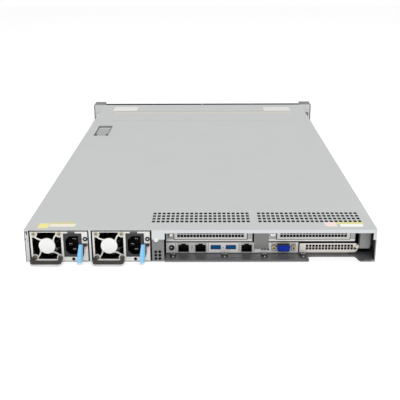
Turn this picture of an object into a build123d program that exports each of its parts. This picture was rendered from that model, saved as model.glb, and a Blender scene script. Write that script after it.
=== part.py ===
from build123d import *
import os
from math import radians, sin, cos, sqrt

os.makedirs("parts", exist_ok=True)

# A rack server one unit high. X runs to the right as seen from the rear, Y from the rear panel to the front,
# Z up. The origin is the middle of the box that the whole server fills, on its underside. Millimetres.

# Chassis
body_width = 436.0
body_height = 43.5
body_depth = 760.0
sheet = 1.2
cover_sheet = 1.0
overrun = 5.0
slip = 0.3
pin_clear = 0.06
rear_flange_width = 5.1
right_flange_width = 4.0
right_tab_height = 13.0
lip_height = 2.6

# Rack ears, their caps and screws
ear_width = 23.3
ear_hole_inset = 8.75
ear_sheet = 1.6
ear_side_length = 60.0
ear_edge_gap = 0.5
ear_chamfer = 3.0
ear_hole_radius = 3.3
ear_clear = 0.4
cap_reach = 38.0
cap_round = 3.0
cap_bore_radius = 5.2
knob_start = 3.0
knob_radius = 4.6
knob_length = 22.0
knob_slot_depth = 1.5
captive_shoulder_radius = 3.1
captive_radius = 2.5
captive_tip = 8.0

# Covers
seam_from_rear = 602.0
seam_gap = 0.6
front_cover_gap = 2.5
cover_flange_height = 6.0
cover_flange_start = 15.0
cover_travel = 12.0
drop_flange_height = 3.7
vent_slot_width = 4.0
vent_slot_length = 6.2
vent_column_pitch = 6.0
vent_row_pitch = 9.8
vent_rows = 4
vent_from_rear = 28.0
left_vent_columns = 21
right_vent_columns = 22
left_vent_from_flap = 0.65
right_vent_from_panel = 119.4
flap_width = 16.0
flap_height = 12.0
flap_ear_radius = 3.2
flap_screw_radius = 2.2
flap_screw_head = 2.0

# Cover latch
latch_width = 28.0
latch_length = 81.0
latch_from_rear = 476.0
latch_from_side = 16.0
latch_recess_depth = 8.0
latch_wall = 1.0
latch_finger_gap = 12.0
lever_thickness = 2.5
lever_side_gap = 1.6
lever_corner = 4.0
lever_lift = 60.0
lever_pivot_radius = 2.2
lever_pin_radius = 1.2
pin_end_gap = 0.2
cam_thickness = 3.0
cam_half_width = 3.2
cam_overlap = 2.2
strike_radius = 1.5

# Power supplies
supply_width = 72.3
supply_length = 185.0
supply_spacing = 5.0
supply_side_gap = 5.15
supply_clear = 0.65
supply_wall = 1.0
fan_center_from_left = 21.0
supply_fan_square = 38.0
supply_fan_length = 20.0
fan_wall = 0.8
blade_clear = 0.8
supply_rotor_hub = 9.8
supply_rotor_depth = 13.0
supply_blades = 7
face_opening_inset = 1.0
guard_hub_radius = 10.3
guard_boss_radius = 4.4
guard_boss_inset = 2.2
guard_reach = 20.0
guard_lead = 20.0
guard_bend = 13.0
guard_arm_width = 1.8
spider_thickness = 2.0
fan_rim = 1.0
fan_strut = 2.0
strut_angles = (45.0, 165.0, 285.0)
rotor_gap = 2.0
axle_radius = 1.5
axle_end_gap = 0.5
blade_thickness = 1.0
blade_pitch = 40.0
hub_sides = 18
inlet_width = 22.8
inlet_height = 31.0
inlet_from_left = 41.8
inlet_from_bottom = 5.6
inlet_depth = 24.0
inlet_proud = 0.6
socket_width = 16.2
socket_tall = 24.4
socket_depth = 17.0
socket_chamfer = 5.0
socket_shift = 0.8
prong_width = 4.0
prong_height = 2.0
prong_length = 15.0
prong_spread = 7.0
prong_shift = 2.4
lamp_radius = 2.4
lamp_depth = 3.0
lamp_proud = 0.5
lamp_from_right = 3.5
lamp_height = 31.0
face_hole_radius = 2.0
face_hole_from_inlet = 11.5
face_hole_height = 4.2
supply_board_lift = 3.0
supply_choke = 24.0
supply_choke_height = 22.0
supply_sink_width = 5.0
outlet_width = 11.0
outlet_height = 26.0
outlet_pitch = 14.0
outlet_columns = 5

# Supply pull handle
handle_reach = 15.0
handle_width = 39.0
handle_bar = 3.0
handle_height = 4.4
handle_bottom = 3.2
handle_round = 5.0
handle_chamfer = 1.3
handle_lug = 1.8
handle_from_left = 0.8
handle_pin_radius = 1.2
handle_pin_length = 1.6
face_gap = 0.45

# Supply release latch
release_width = 6.4
release_lean = 1.6
release_taper = 3.3
release_thickness = 2.0
release_reach = 12.0
release_top = 24.5
release_bottom = 3.6
release_from_right = 4.6
release_bar_gap = 1.5
release_stem = 3.6
release_arm = 60.0
release_arm_sheet = 0.8
release_arm_height = 8.0
release_nose = 0.9
release_nose_length = 4.0
release_nose_start = 28.0
release_angle = 2.5

# Supply cage and six-hole panel
cage_sheet = 1.2
cage_hem = 2.4
cage_hem_length = 3.0
cage_foot = 5.0
vent_panel_width = 15.0
vent_panel_hole_radius = 1.5
vent_panel_pitch_x = 5.0
vent_panel_pitch_z = 4.6
vent_panel_first_x = 4.6
vent_panel_first_z = 4.6

# Rear panel with its ports. Starts and centres are measured from the panel's left edge.
recess = 24.0
panel_sheet = 1.0
panel_gap = 1.3
panel_width = 168.5
panel_top = 16.4
port_depth = 16.0
jack_width = 16.2
jack_height = 13.4
jack_bottom = 2.4
jack_sill = 0.8
jack_cavity_width = 13.4
jack_cavity_height = 9.8
jack_cavity_depth = 12.0
jack_key_width = 6.0
jack_key_height = 1.6
jack_centers = (22.1, 43.9, 102.8)
usb_width = 13.2
usb_height = 5.9
usb_wall = 0.5
usb_tongue = 3.6
usb_tongue_lift = 0.4
usb_tongue_length = 9.0
usb_centers = (63.3, 82.6)
light_pipe_centers = (33.0, 72.9)
light_pipe_radius = 1.2
light_pipe_height = 9.6
light_pipe_proud = 0.5
light_pipe_length = 8.0
vga_shell_width = 16.9
vga_shell_height = 7.9
vga_shell_reach = 5.5
vga_shell_wall = 0.6
vga_slant = 10.0
vga_corner = 1.4
vga_insert_inset = 0.8
vga_flange_width = 30.8
vga_flange_height = 12.0
vga_flange_sheet = 0.8
vga_screw_spread = 25.0
vga_hex_radius = 2.6
vga_hex_length = 4.5
vga_center = 149.8
vga_height = 10.6
locate_radius = 2.4
locate_ring_radius = 3.6
locate_ring_depth = 0.9
locate_length = 9.0
locate_proud = 1.6
locate_center = 7.2
locate_height = 9.3
locate_travel = 1.2

# Riser brackets with their perforated blanks
riser_starts = (0.0, 130.5)
riser_width = 109.8
riser_bottom = 17.4
riser_shelf = 3.2
riser_blank_width = 92.2
riser_blank_start = 10.6
riser_blank_lift = 1.4
riser_hole_size = 2.9
riser_hole_pitch = 4.05
riser_hole_margin = 5.5
riser_row_pitch = 4.2
riser_first_row = 5.2
riser_side_length = 120.0
riser_foot_length = 60.0

# Filler plates
filler_width = 18.7
filler_start = 111.9
filler_bottom = 7.6
corner_start = 245.1
corner_width = 12.6
corner_bottom = 11.2
corner_inset = 16.0

# Mezzanine blank
mezzanine_start = 170.1
mezzanine_width = 74.4
mezzanine_bottom = 3.1
mezzanine_height = 12.9
mezzanine_sheet = 1.5
mezzanine_round = 6.0
mezzanine_hole_size = 2.8
mezzanine_hole_pitch = 4.06
mezzanine_hole_end = 3.5
mezzanine_first_hole = 9.5
mezzanine_row_pitch = 3.7
mezzanine_first_row = 5.4
mezzanine_foot = 12.0
mezzanine_foot_inset = 6.0

# Floor cut-away below the mezzanine
notch_start = 180.0
notch_width = 59.3
notch_depth = 15.0
notch_slope = 5.0
notch_round = 3.5

# Rail studs, board standoffs and the strike's post
stud_radius = 3.0
stud_head_radius = 4.6
stud_head = 1.2
stud_reach = 3.6
stud_shares = (0.09, 0.47, 0.85)
standoff_radius = 3.0
standoff_inset = 12.0
standoff_height = 4.0
strike_post = 6.0

# Boards and what sits on them
board = 1.6
board_front = 415.0
board_side_gap = 3.0
board_rear_gap = 12.5
supply_board_gap = 12.0
midplane_gap = 2.0
midplane_height = 30.0
riser_card_inset = 8.0
riser_card_start = 34.0
riser_card_length = 70.0
riser_card_height = 28.0
riser_slot_width = 7.5
riser_slot_height = 10.0
heat_sink_width = 78.0
heat_sink_length = 108.0
heat_sink_base = 5.0
heat_sink_fins = 16
fin_thickness = 1.0
socket_size = 60.0
socket_height = 6.0
module_length = 133.4
module_thickness = 1.3
module_slot_width = 6.5
module_slot_height = 7.0
module_pitch = 9.0
modules_per_bank = 4
bank_gap = 6.0
processor_from_rear = 310.0
duct_sheet = 1.4
duct_clear = 2.0
duct_start = 232.0
duct_end = 412.0
duct_side_gap = 6.0

# Fans behind the drives
fan_from_rear = 425.0
fan_pitch = 56.0
fan_width = 55.0
fan_length = 28.0
fan_count = 7
fan_shell = 2.0
fan_top_clear = 0.5
inner_hub_radius = 8.2
inner_rotor_depth = 20.0
inner_blades = 5

# Drive bays
drive_count = 4
cage_length = 150.0
bay_wall = 1.0
carrier_gap = 0.8
carrier_floor = 1.2
rail_height = 22.0
disk_width = 101.6
disk_length = 146.0
disk_height = 26.1
bezel_depth = 13.6
bezel_reach = 14.0
bezel_vent_width = 20.0
bezel_vent_height = 1.8
bezel_vent_pitch = 3.6
bezel_vent_rows = 3
bezel_vent_columns = 4
drive_lever_length = 70.0
drive_lever_height = 14.0
drive_lever_thickness = 3.6
drive_lever_inset = 5.0
drive_lever_bottom = 6.0
drive_lever_swing = 60.0
drive_pin_length = 2.0
drive_pin_radius = 1.2
bezel_chamfer = 1.0
drive_button_width = 9.0
drive_button_depth = 5.0
drive_button_proud = 0.5
drive_button_travel = 2.0
button_radius = 3.0
power_button_length = 7.0
power_button_proud = 0.6
power_button_travel = 1.5
backplane_windows = 4
backplane_window_width = 60.0
backplane_window_height = 8.0
backplane_window_bottom = 30.0

# Places worked out from the sizes above
half_width = body_width / 2
rear = -(body_depth + cap_reach - handle_reach) / 2
front = rear + body_depth
ceiling = body_height - cover_sheet
inner_half = half_width - sheet
mid_height = body_height / 2
ear_edge = half_width + ear_width
supply_height = ceiling - sheet - 2 * supply_clear
supply_bottom = sheet + supply_clear
supply_top = supply_bottom + supply_height
supply_pitch = supply_width + supply_spacing
supply_fan_bore = supply_fan_square / 2 - fan_wall
supply_lefts = [-inner_half + supply_side_gap + n * supply_pitch for n in range(2)]
divider_left = supply_lefts[1] - (supply_pitch - supply_width + cage_sheet) / 2
cage_wall_left = divider_left + supply_pitch
io_left = cage_wall_left + vent_panel_width + panel_gap
recess_y = rear + recess
seam = rear + seam_from_rear
captive_x = ear_edge - ear_hole_inset
board_bottom = sheet + standoff_height
board_top = board_bottom + board
duct_bottom = ceiling - slip - duct_sheet
cage_back = front - cage_length
cage_half = inner_half - slip
bay_pitch = (2 * cage_half - bay_wall) / drive_count
bay_top = ceiling - bay_wall
fan_back = rear + fan_from_rear


def block(x0, x1, y0, y1, z0, z1):
    """A box given by its two corners."""
    return Pos(x0, y0, z0) * Box(x1 - x0, y1 - y0, z1 - z0, align=(Align.MIN,) * 3)


def rod(axis, x, y, z, radius, length):
    """A cylinder that starts at the point given and runs along the axis."""
    turn = {"x": Rot(0, 90, 0), "y": Rot(-90, 0, 0), "z": Rot(0, 0, 0)}[axis]
    bottom = (Align.CENTER, Align.CENTER, Align.MIN)
    return Pos(x, y, z) * turn * Cylinder(radius, length, align=bottom)


def upright(profile, y, depth):
    """An outline drawn in X and Z, carried from y towards the front."""
    return Pos(0, y + depth, 0) * Rot(90, 0, 0) * extrude(profile, depth)


def sideways(profile, x, width):
    """An outline drawn in Y and Z, carried from x to the right."""
    return Pos(x, 0, 0) * Rot(0, 0, 90) * Rot(90, 0, 0) * extrude(profile, width)


def mirrored(shape):
    return mirror(shape, Plane.YZ)


def grid(shape, pitch_x, pitch_y, columns, rows, first_x, first_y):
    """Copies of a flat shape in columns and rows from the first place given."""
    return [
        Pos(first_x + i * pitch_x, first_y + k * pitch_y) * shape
        for i in range(columns) for k in range(rows)
    ]


def rect(x, z, width, height):
    """A rectangle centred in x that stands on z."""
    return Pos(x, z + height / 2) * Rectangle(width, height)


parts = {}


def make_tray():
    """Floor, side walls, rear flanges and floor lips, bent from one sheet."""
    notch_left = io_left + notch_start
    notch_right = notch_left + notch_width
    outline = Polyline(
        (notch_left, rear - overrun),
        (notch_left, rear + notch_depth),
        (notch_right, rear + notch_depth),
        (notch_right + notch_slope, rear - overrun),
        close=True,
    )
    floor = Pos(0, rear + body_depth / 2) * Rectangle(body_width, body_depth)
    floor -= make_face(outline)
    inner = [v for v in floor.vertices() if abs(v.X) < half_width - sheet]
    floor = extrude(fillet(inner, notch_round), sheet)
    left_flange_edge = -half_width + rear_flange_width
    right_flange_edge = half_width - right_flange_width
    lip_start = cage_wall_left + vent_panel_width
    tray = floor
    tray += block(-half_width, -inner_half, rear, front, 0, ceiling)
    tray += block(inner_half, half_width, rear, front, 0, ceiling)
    tray += block(-inner_half, left_flange_edge, rear, rear + sheet, sheet, ceiling)
    tray += block(right_flange_edge, inner_half, rear, rear + sheet, ceiling - right_tab_height, ceiling)
    tray += block(lip_start, notch_left - notch_round, rear, rear + sheet, 0, lip_height)
    tray += block(notch_right + notch_slope + notch_round, inner_half, rear, rear + sheet, 0, lip_height)
    slot_right = left_flange_edge - sheet
    tray -= block(-inner_half + sheet, slot_right, rear - overrun, rear + overrun,
                  ceiling - 5 * sheet, ceiling - sheet)
    return tray - rod("y", slot_right, rear - overrun, 2 * ceiling / 3, sheet / 2, 2 * overrun)


parts["chassis_tray"] = make_tray()


def cover_flanges(y0, y1):
    """The two side flanges that hang from a cover inside the chassis walls."""
    right = block(cage_half - cover_sheet, cage_half, y0, y1, ceiling - cover_flange_height, ceiling)
    return [right, mirrored(right)]


def vent_slots(first_x, columns):
    slot = Rectangle(vent_slot_width, vent_slot_length)
    return grid(slot, vent_column_pitch, vent_row_pitch, columns, vent_rows, first_x,
                rear + vent_from_rear)


latch_left = -half_width + latch_from_side
latch_right = latch_left + latch_width
latch_rear = rear + latch_from_rear
latch_front = latch_rear + latch_length
flap_screw_x = cage_wall_left + flap_width / 3
flap_bottom = ceiling - flap_height


def make_rear_cover():
    """The long cover: vents, latch opening, side flanges, drop flange and screw flap."""
    length = seam - seam_gap - rear
    plate = Pos(0, rear + length / 2) * Rectangle(body_width, length)
    plate -= vent_slots(cage_wall_left + left_vent_from_flap, left_vent_columns)
    plate -= vent_slots(io_left + right_vent_from_panel, right_vent_columns)
    opening = Rectangle(latch_width, latch_length)
    plate -= Pos(latch_left + latch_width / 2, latch_rear + latch_length / 2) * opening
    cover = Pos(0, 0, ceiling) * extrude(plate, cover_sheet)
    for flange in cover_flanges(rear + cover_flange_start, seam - cover_flange_start):
        cover += flange
    flap_right = cage_wall_left + flap_width
    cover += block(flap_right, half_width - right_flange_width, rear - cover_sheet, rear,
                   ceiling - drop_flange_height, body_height)
    cover += block(cage_wall_left, flap_right, rear - cover_sheet, rear, flap_bottom, body_height)
    cover += rod("y", flap_screw_x, rear - cover_sheet, flap_bottom, flap_ear_radius, cover_sheet)
    return cover - rod("y", flap_screw_x, rear - overrun, flap_bottom,
                       flap_shank_radius + slip, 2 * overrun)


flap_shank_radius = flap_screw_radius / 2
parts["rear_cover"] = make_rear_cover()


def make_cover_screw():
    """A slotted head outside the flap and a shank into the panel behind it."""
    head_start = rear - cover_sheet - flap_screw_head
    screw = rod("y", flap_screw_x, head_start, flap_bottom, flap_screw_radius, flap_screw_head)
    screw += rod("y", flap_screw_x, rear - cover_sheet, flap_bottom, flap_shank_radius,
                 cover_sheet + sheet)
    half_slot = flap_screw_radius / 6
    return screw - block(flap_screw_x - flap_screw_radius, flap_screw_x + flap_screw_radius,
                         head_start, head_start + flap_screw_head / 2,
                         flap_bottom - half_slot, flap_bottom + half_slot)


parts["cover_screw"] = make_cover_screw()

# The lever turns about the rear end of its recess. Its cam reaches through the recess floor to the strike.
pivot_y = latch_rear + latch_wall + lever_pivot_radius + slip
pivot_z = body_height - latch_wall - lever_pivot_radius
cam_radius = cover_travel / (2 * sin(radians(lever_lift) / 2))
cam_reach = cam_radius + cam_overlap
strike_y = pivot_y - cover_travel / 2
strike_z = pivot_z - cam_radius * cos(radians(lever_lift) / 2)
lever_left = latch_left + latch_wall + lever_side_gap
lever_right = latch_right - latch_wall - lever_side_gap
cam_left = (lever_left + lever_right - cam_thickness) / 2
cam_right = cam_left + cam_thickness
tray_floor = body_height - latch_recess_depth


def make_latch_tray():
    """The pan that lines the latch opening, with bearing cheeks and a slot for the cam."""
    bottom = tray_floor - latch_wall
    pan = block(latch_left, latch_right, latch_rear, latch_front, bottom, body_height)
    pan -= block(latch_left + latch_wall, latch_right - latch_wall, latch_rear + latch_wall,
                 latch_front - latch_wall, tray_floor, body_height + overrun)
    pan -= block(cam_left - slip, cam_right + slip, latch_rear, pivot_y + cam_reach, bottom,
                 pivot_z + cam_half_width)
    cheek_width = lever_side_gap - slip
    cheek = rod("x", 0, pivot_y, pivot_z, lever_pivot_radius, cheek_width)
    cheek += block(0, cheek_width, pivot_y - lever_pivot_radius, pivot_y + lever_pivot_radius,
                   tray_floor, pivot_z)
    pan += Pos(latch_left + latch_wall, 0, 0) * cheek
    pan += Pos(lever_right + slip, 0, 0) * cheek
    return pan - rod("x", latch_left, pivot_y, pivot_z, lever_pin_radius + pin_clear, latch_width)


parts["latch_tray"] = make_latch_tray()


def make_cover_lever():
    """The lever plate with its barrel, forked cam arm and pin."""
    top = pivot_z + lever_pivot_radius
    end = latch_front - latch_wall - latch_finger_gap
    plate = block(lever_left, lever_right, pivot_y, end, top - lever_thickness, top)
    plate = fillet(plate.edges().filter_by(Axis.Z).group_by(Axis.Y)[-1], lever_corner)
    lever = plate + rod("x", lever_left, pivot_y, pivot_z, lever_pivot_radius, lever_right - lever_left)
    fork_half = strike_radius + slip
    arm = block(cam_left, cam_right, -cam_half_width, cam_half_width, -cam_reach, 0)
    arm -= block(cam_left - slip, cam_right + slip, -fork_half, fork_half, -cam_reach - slip,
                 strike_z - pivot_z + fork_half)
    lever += Pos(0, pivot_y, pivot_z) * Rot(-lever_lift / 2, 0, 0) * arm
    return lever + rod("x", latch_left + pin_end_gap, pivot_y, pivot_z, lever_pin_radius,
                       latch_width - 2 * pin_end_gap)


parts["cover_lever"] = make_cover_lever()


def make_front_cover():
    return block(-half_width, half_width, seam, front - front_cover_gap, ceiling, body_height)


parts["front_cover"] = make_front_cover()


def make_ear():
    """The right rack ear: a plate for the rack post and a leg along the chassis side."""
    low, high = ear_edge_gap, body_height - ear_edge_gap
    plate = block(half_width, ear_edge, front - ear_sheet, front, low, high)
    plate = chamfer(plate.edges().filter_by(Axis.Y).group_by(Axis.X)[-1], ear_chamfer)
    leg = block(half_width, half_width + ear_sheet, front - ear_side_length, front - ear_sheet, low, high)
    return plate + leg - rod("y", captive_x, front - overrun, mid_height, ear_hole_radius, 2 * overrun)


parts["rack_ears"] = [mirrored(make_ear()), make_ear()]
power_button_z = mid_height + cap_bore_radius + 2 * button_radius


def make_cap(with_button):
    """The moulded cap on the front of an ear, open round its captive screw."""
    cap = block(half_width + ear_clear, ear_edge, front, front + cap_reach, ear_edge_gap,
                body_height - ear_edge_gap)
    cap = fillet(cap.edges().group_by(Axis.Y)[-1], cap_round)
    cap -= rod("y", captive_x, front - overrun, mid_height, cap_bore_radius, cap_reach + 2 * overrun)
    if with_button:
        depth = power_button_length - power_button_proud + power_button_travel + slip
        cap -= rod("y", captive_x, front + cap_reach - depth, power_button_z, button_radius + slip,
                   depth + overrun)
    return cap


parts["ear_caps"] = [mirrored(make_cap(False)), make_cap(True)]
parts["power_button"] = rod("y", captive_x, front + cap_reach - power_button_length + power_button_proud,
                            power_button_z, button_radius, power_button_length)


def make_captive(x):
    """A slotted knob in front of the ear, a shoulder through it and a slimmer end behind it."""
    back = front - ear_sheet
    shank = rod("y", x, back - captive_tip, mid_height, captive_radius, captive_tip)
    shank = chamfer(shank.edges().group_by(Axis.Y)[0], captive_radius / 3)
    shank += rod("y", x, back - slip, mid_height, captive_shoulder_radius, slip + ear_sheet + knob_start)
    knob_y = front + knob_start
    knob = rod("y", x, knob_y, mid_height, knob_radius, knob_length)
    knob -= block(x - knob_radius, x + knob_radius, knob_y + knob_length - knob_slot_depth,
                  knob_y + knob_length, mid_height - sheet / 2, mid_height + sheet / 2)
    return shank + knob


parts["captive_screw_left"] = make_captive(-captive_x)
parts["captive_screw_right"] = make_captive(captive_x)


def guard_arms(hub, reach, lead, bend, width):
    """Four curved arms from the hub to the rim, each turned a quarter from the last."""
    arms = []
    for n in range(4):
        start = radians(90 * n + 30)
        finish = start + radians(lead)
        path = RadiusArc((hub * cos(start), hub * sin(start)),
                         (reach * cos(finish), reach * sin(finish)), bend)
        arms.append(trace(path, width))
    return arms


def make_fan_frame(x, z, square_x, square_z, bore, hub, y0, length):
    """A fan housing with a round duct, and a many-sided hub on three struts that carries the axle."""
    body = Rectangle(square_x, square_z) - Circle(bore)
    spider = RegularPolygon(hub, hub_sides)
    for angle in strut_angles:
        spider += Rot(0, 0, angle) * Pos(bore / 2, 0) * Rectangle(bore + fan_rim, fan_strut)
    spider -= Circle(axle_radius + pin_clear)
    place = Pos(x, z)
    housing = upright(place * body, y0, length)
    return housing + upright(place * spider, y0 + length - spider_thickness, spider_thickness)


def make_rotor(x, z, hub, tip, depth, blades, y0, length):
    """A hub with pitched blades, and the axle that runs in the frame's hub."""
    rotor = Pos(0, 0, -depth / 2) * extrude(RegularPolygon(hub, hub_sides), depth)
    reach = sqrt(tip ** 2 - (depth / 2) ** 2)
    chord = Rot(0, 0, blade_pitch) * Rectangle(depth - blade_thickness, blade_thickness)
    for n in range(blades):
        blade = Pos(0, 0, hub / 2) * extrude(chord, reach - hub / 2)
        rotor += Rot(0, 0, n * 360 / blades) * Rot(-90, 0, 0) * blade
    rotor = Pos(x, y0 + rotor_gap + depth / 2, z) * Rot(90, 0, 0) * rotor
    axle_end = y0 + length - axle_end_gap
    start = y0 + rotor_gap + depth
    return rotor + rod("y", x, start, z, axle_radius, axle_end - start)


def make_supply_case(left):
    """The supply's sheet case with its face openings, handle lugs and latch window, and what it holds."""
    right, back = left + supply_width, rear + supply_length
    wall = supply_wall
    case = block(left, right, rear, back, supply_bottom, supply_top)
    case -= block(left + wall, right - wall, rear + wall, back - wall, supply_bottom + wall,
                  supply_top - wall)
    opening = supply_fan_square - 2 * face_opening_inset
    corner = supply_fan_square / 2 - face_opening_inset - guard_boss_inset
    guard = Rectangle(opening, opening) - Circle(guard_hub_radius)
    guard -= [Pos(x, z) * Circle(guard_boss_radius) for x in (-corner, corner) for z in (-corner, corner)]
    for arm in guard_arms(guard_hub_radius - wall, guard_reach, guard_lead, guard_bend, guard_arm_width):
        guard -= arm
    case -= upright(Pos(left + fan_center_from_left, supply_center_z) * guard, rear, wall)
    inlet_left = left + inlet_from_left
    inlet_bottom = supply_bottom + inlet_from_bottom
    case -= block(inlet_left, inlet_left + inlet_width, rear, rear + wall, inlet_bottom,
                  inlet_bottom + inlet_height)
    case -= rod("y", right - lamp_from_right, rear, lamp_height, lamp_radius, wall)
    case -= rod("y", inlet_left + face_hole_from_inlet, rear, face_hole_height, face_hole_radius, wall)
    stem_swing = (release_arm + release_thickness) * sin(radians(release_angle))
    case -= block(right - wall - release_stem - stem_swing - slip, right - wall, rear, rear + wall,
                  release_top - release_thickness - slip, release_top + 2 * slip)
    case -= block(right - wall, right, rear + release_nose_start - slip,
                  rear + release_nose_start + release_nose_length + slip,
                  release_center_z - release_arm_height / 2 - slip,
                  release_center_z + release_arm_height / 2 + slip)
    outlet = grid(Rectangle(outlet_width, outlet_height), outlet_pitch, 0, outlet_columns, 1,
                  left + outlet_pitch, supply_center_z)
    case -= upright(Sketch() + outlet, back - wall, wall)
    lug_z = handle_bottom + handle_height / 2
    inner_left = left + handle_from_left + handle_bar + slip
    inner_right = left + handle_from_left + handle_width - handle_bar - slip
    for x in (inner_left, inner_right - handle_lug):
        lug = block(x, x + handle_lug, rear - handle_height - face_gap, rear, handle_bottom,
                    handle_bottom + handle_height)
        case += lug - rod("x", x, handle_pivot_y, lug_z, handle_pin_radius + pin_clear, handle_lug)
    return [case] + make_supply_inside(left)


def make_supply_inside(left):
    """Board, two chokes and a heat sink, stacked on the case floor."""
    right, back = left + supply_width - supply_wall, rear + supply_length - supply_wall
    low = supply_bottom + supply_wall
    board_y = rear + inlet_depth + supply_fan_length
    top = low + supply_board_lift
    choke_left = left + supply_width / 2 - supply_choke
    inside = [block(left + 2 * supply_wall, right - 2 * supply_wall, board_y, back, low, top)]
    for n in range(2):
        y = board_y + (2 * n + 1) * supply_choke
        inside.append(block(choke_left, choke_left + supply_choke, y, y + supply_choke, top,
                            top + supply_choke_height))
    sink_left = left + supply_width / 2 + supply_sink_width
    inside.append(block(sink_left, sink_left + supply_sink_width, board_y + supply_choke,
                        back - supply_choke, top, top + supply_choke_height))
    return inside


def make_inlet(left):
    """The mains inlet: a housing with a chamfered cavity and three prongs, and the lamp beside it."""
    x0 = left + inlet_from_left
    z0 = supply_bottom + inlet_from_bottom
    y0 = rear - inlet_proud
    body = block(x0, x0 + inlet_width, y0, rear + inlet_depth, z0, z0 + inlet_height)
    middle_x = x0 + inlet_width / 2 - socket_shift
    middle_z = z0 + inlet_height / 2
    cavity = Rectangle(socket_width, socket_tall)
    left_corners = cavity.vertices().group_by(Axis.X)[0]
    cavity = Pos(middle_x, middle_z) * chamfer(left_corners, socket_chamfer)
    body -= upright(cavity, y0, socket_depth)
    prongs = [(-prong_shift, 0), (prong_shift, -prong_spread), (prong_shift, prong_spread)]
    for dx, dz in prongs:
        x, z = middle_x + dx - prong_width / 2, middle_z + dz - prong_height / 2
        body += block(x, x + prong_width, y0 + socket_depth - prong_length, y0 + socket_depth, z,
                      z + prong_height)
    lamp_x = left + supply_width - lamp_from_right
    lamp = rod("y", lamp_x, rear - lamp_proud, lamp_height, lamp_radius, lamp_depth)
    lamp -= rod("y", lamp_x, rear - lamp_proud, lamp_height, lamp_radius / 2, lamp_proud)
    return [body, lamp]


def make_handle(left):
    """A loop that folds up on two inward pins: two arms, a bar across their ends and rounded corners."""
    x0 = left + handle_from_left
    x1 = x0 + handle_width
    y0, y1 = rear - handle_reach, rear - face_gap
    outer = Pos((x0 + x1) / 2, (y0 + y1) / 2) * Rectangle(handle_width, y1 - y0)
    outer = fillet(outer.vertices().group_by(Axis.Y)[0], handle_round)
    inner_width = handle_width - 2 * handle_bar
    inner = Pos((x0 + x1) / 2, (y0 + handle_bar + y1) / 2) * Rectangle(inner_width, y1 - y0 - handle_bar)
    inner = fillet(inner.vertices().group_by(Axis.Y)[0], handle_round - handle_bar)
    loop = Pos(0, 0, handle_bottom) * extrude(outer - inner, handle_height)
    ends = loop.edges().filter_by(Axis.X).group_by(Axis.Y)[-1]
    loop = chamfer(ends, handle_chamfer)
    z = handle_bottom + handle_height / 2
    loop += rod("x", x0 + handle_bar, handle_pivot_y, z, handle_pin_radius, handle_pin_length)
    return loop + rod("x", x1 - handle_bar - handle_pin_length, handle_pivot_y, z, handle_pin_radius,
                      handle_pin_length)


def make_release(left):
    """A slanting thumb tab on a spring arm that lies along the case wall, with a catch nose."""
    right = left + supply_width
    tab_right = right - release_from_right
    tab_left = tab_right - release_width
    arm_right = right - supply_wall
    under = release_top - release_thickness
    bar_y = rear - release_bar_gap - release_thickness
    side = make_face(Polyline((bar_y, release_top), (bar_y + release_thickness, release_top),
                              (bar_y + release_thickness, under),
                              (rear - release_reach + release_thickness, release_bottom),
                              (rear - release_reach, release_bottom), close=True))
    waist = (release_top + release_bottom) / 2
    outline = make_face(Polyline((tab_left, release_top), (tab_right, release_top), (tab_right, waist),
                                 (tab_right - release_taper, release_bottom),
                                 (tab_left - release_lean, release_bottom),
                                 (tab_left - release_lean, waist), close=True))
    release = sideways(side, tab_left - release_lean, release_width + release_lean)
    release = release & upright(outline, rear - release_reach - overrun, release_reach + 2 * overrun)
    release += block(tab_left, arm_right, bar_y, bar_y + release_thickness, under, release_top)
    release += block(arm_right - release_stem, arm_right, bar_y, rear + supply_wall + 2 * slip, under,
                     release_top)
    low = release_center_z - release_arm_height / 2
    arm_start = rear + supply_wall + slip
    release += block(arm_right - release_arm_sheet, arm_right, arm_start, rear + release_arm, low,
                     low + release_arm_height)
    nose_start = rear + release_nose_start
    nose_end = nose_start + release_nose_length
    nose = make_face(Polyline((arm_right - release_arm_sheet / 2, nose_start), (arm_right, nose_start),
                              (right + release_nose, nose_end - release_nose),
                              (right + release_nose, nose_end),
                              (arm_right - release_arm_sheet / 2, nose_end), close=True))
    return release + Pos(0, 0, low) * extrude(nose, release_arm_height)


supply_center_z = supply_bottom + supply_height / 2
release_center_z = release_top - release_arm_height / 2
handle_pivot_y = rear - face_gap - handle_height / 2
for n, left in enumerate(supply_lefts, 1):
    fan_x = left + fan_center_from_left
    parts[f"supply_case_{n}"] = make_supply_case(left)
    parts[f"supply_fan_{n}"] = make_fan_frame(fan_x, supply_center_z, supply_fan_square, supply_fan_square,
                                              supply_fan_bore, supply_rotor_hub, rear + supply_wall,
                                              supply_fan_length)
    parts[f"supply_rotor_{n}"] = make_rotor(fan_x, supply_center_z, supply_rotor_hub,
                                            supply_fan_bore - blade_clear, supply_rotor_depth,
                                            supply_blades, rear + supply_wall, supply_fan_length)
    parts[f"supply_inlet_{n}"] = make_inlet(left)
    parts[f"supply_handle_{n}"] = make_handle(left)
    parts[f"supply_release_{n}"] = make_release(left)


def make_cage():
    """The divider between the supplies and the wall beside them, each with a window for a catch."""
    end = rear + supply_length + midplane_gap
    low = release_center_z - release_arm_height / 2 - slip
    divider = block(divider_left, divider_left + cage_sheet, rear, end, sheet, ceiling)
    hem_left = divider_left + (cage_sheet - cage_hem) / 2
    divider += block(hem_left, hem_left + cage_hem, rear, rear + cage_hem_length, sheet, ceiling)
    wall = block(cage_wall_left, cage_wall_left + cage_sheet, rear + sheet, end, sheet, ceiling)
    wall += block(cage_wall_left, cage_wall_left + cage_foot, rear + sheet, end, sheet, 2 * sheet)
    cage = []
    for piece, x in ((divider, divider_left), (wall, cage_wall_left)):
        cage.append(piece - block(x, x + cage_sheet, rear + release_nose_start - slip,
                                  rear + release_nose_start + release_nose_length + slip, low,
                                  low + release_arm_height + 2 * slip))
    return cage


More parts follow.
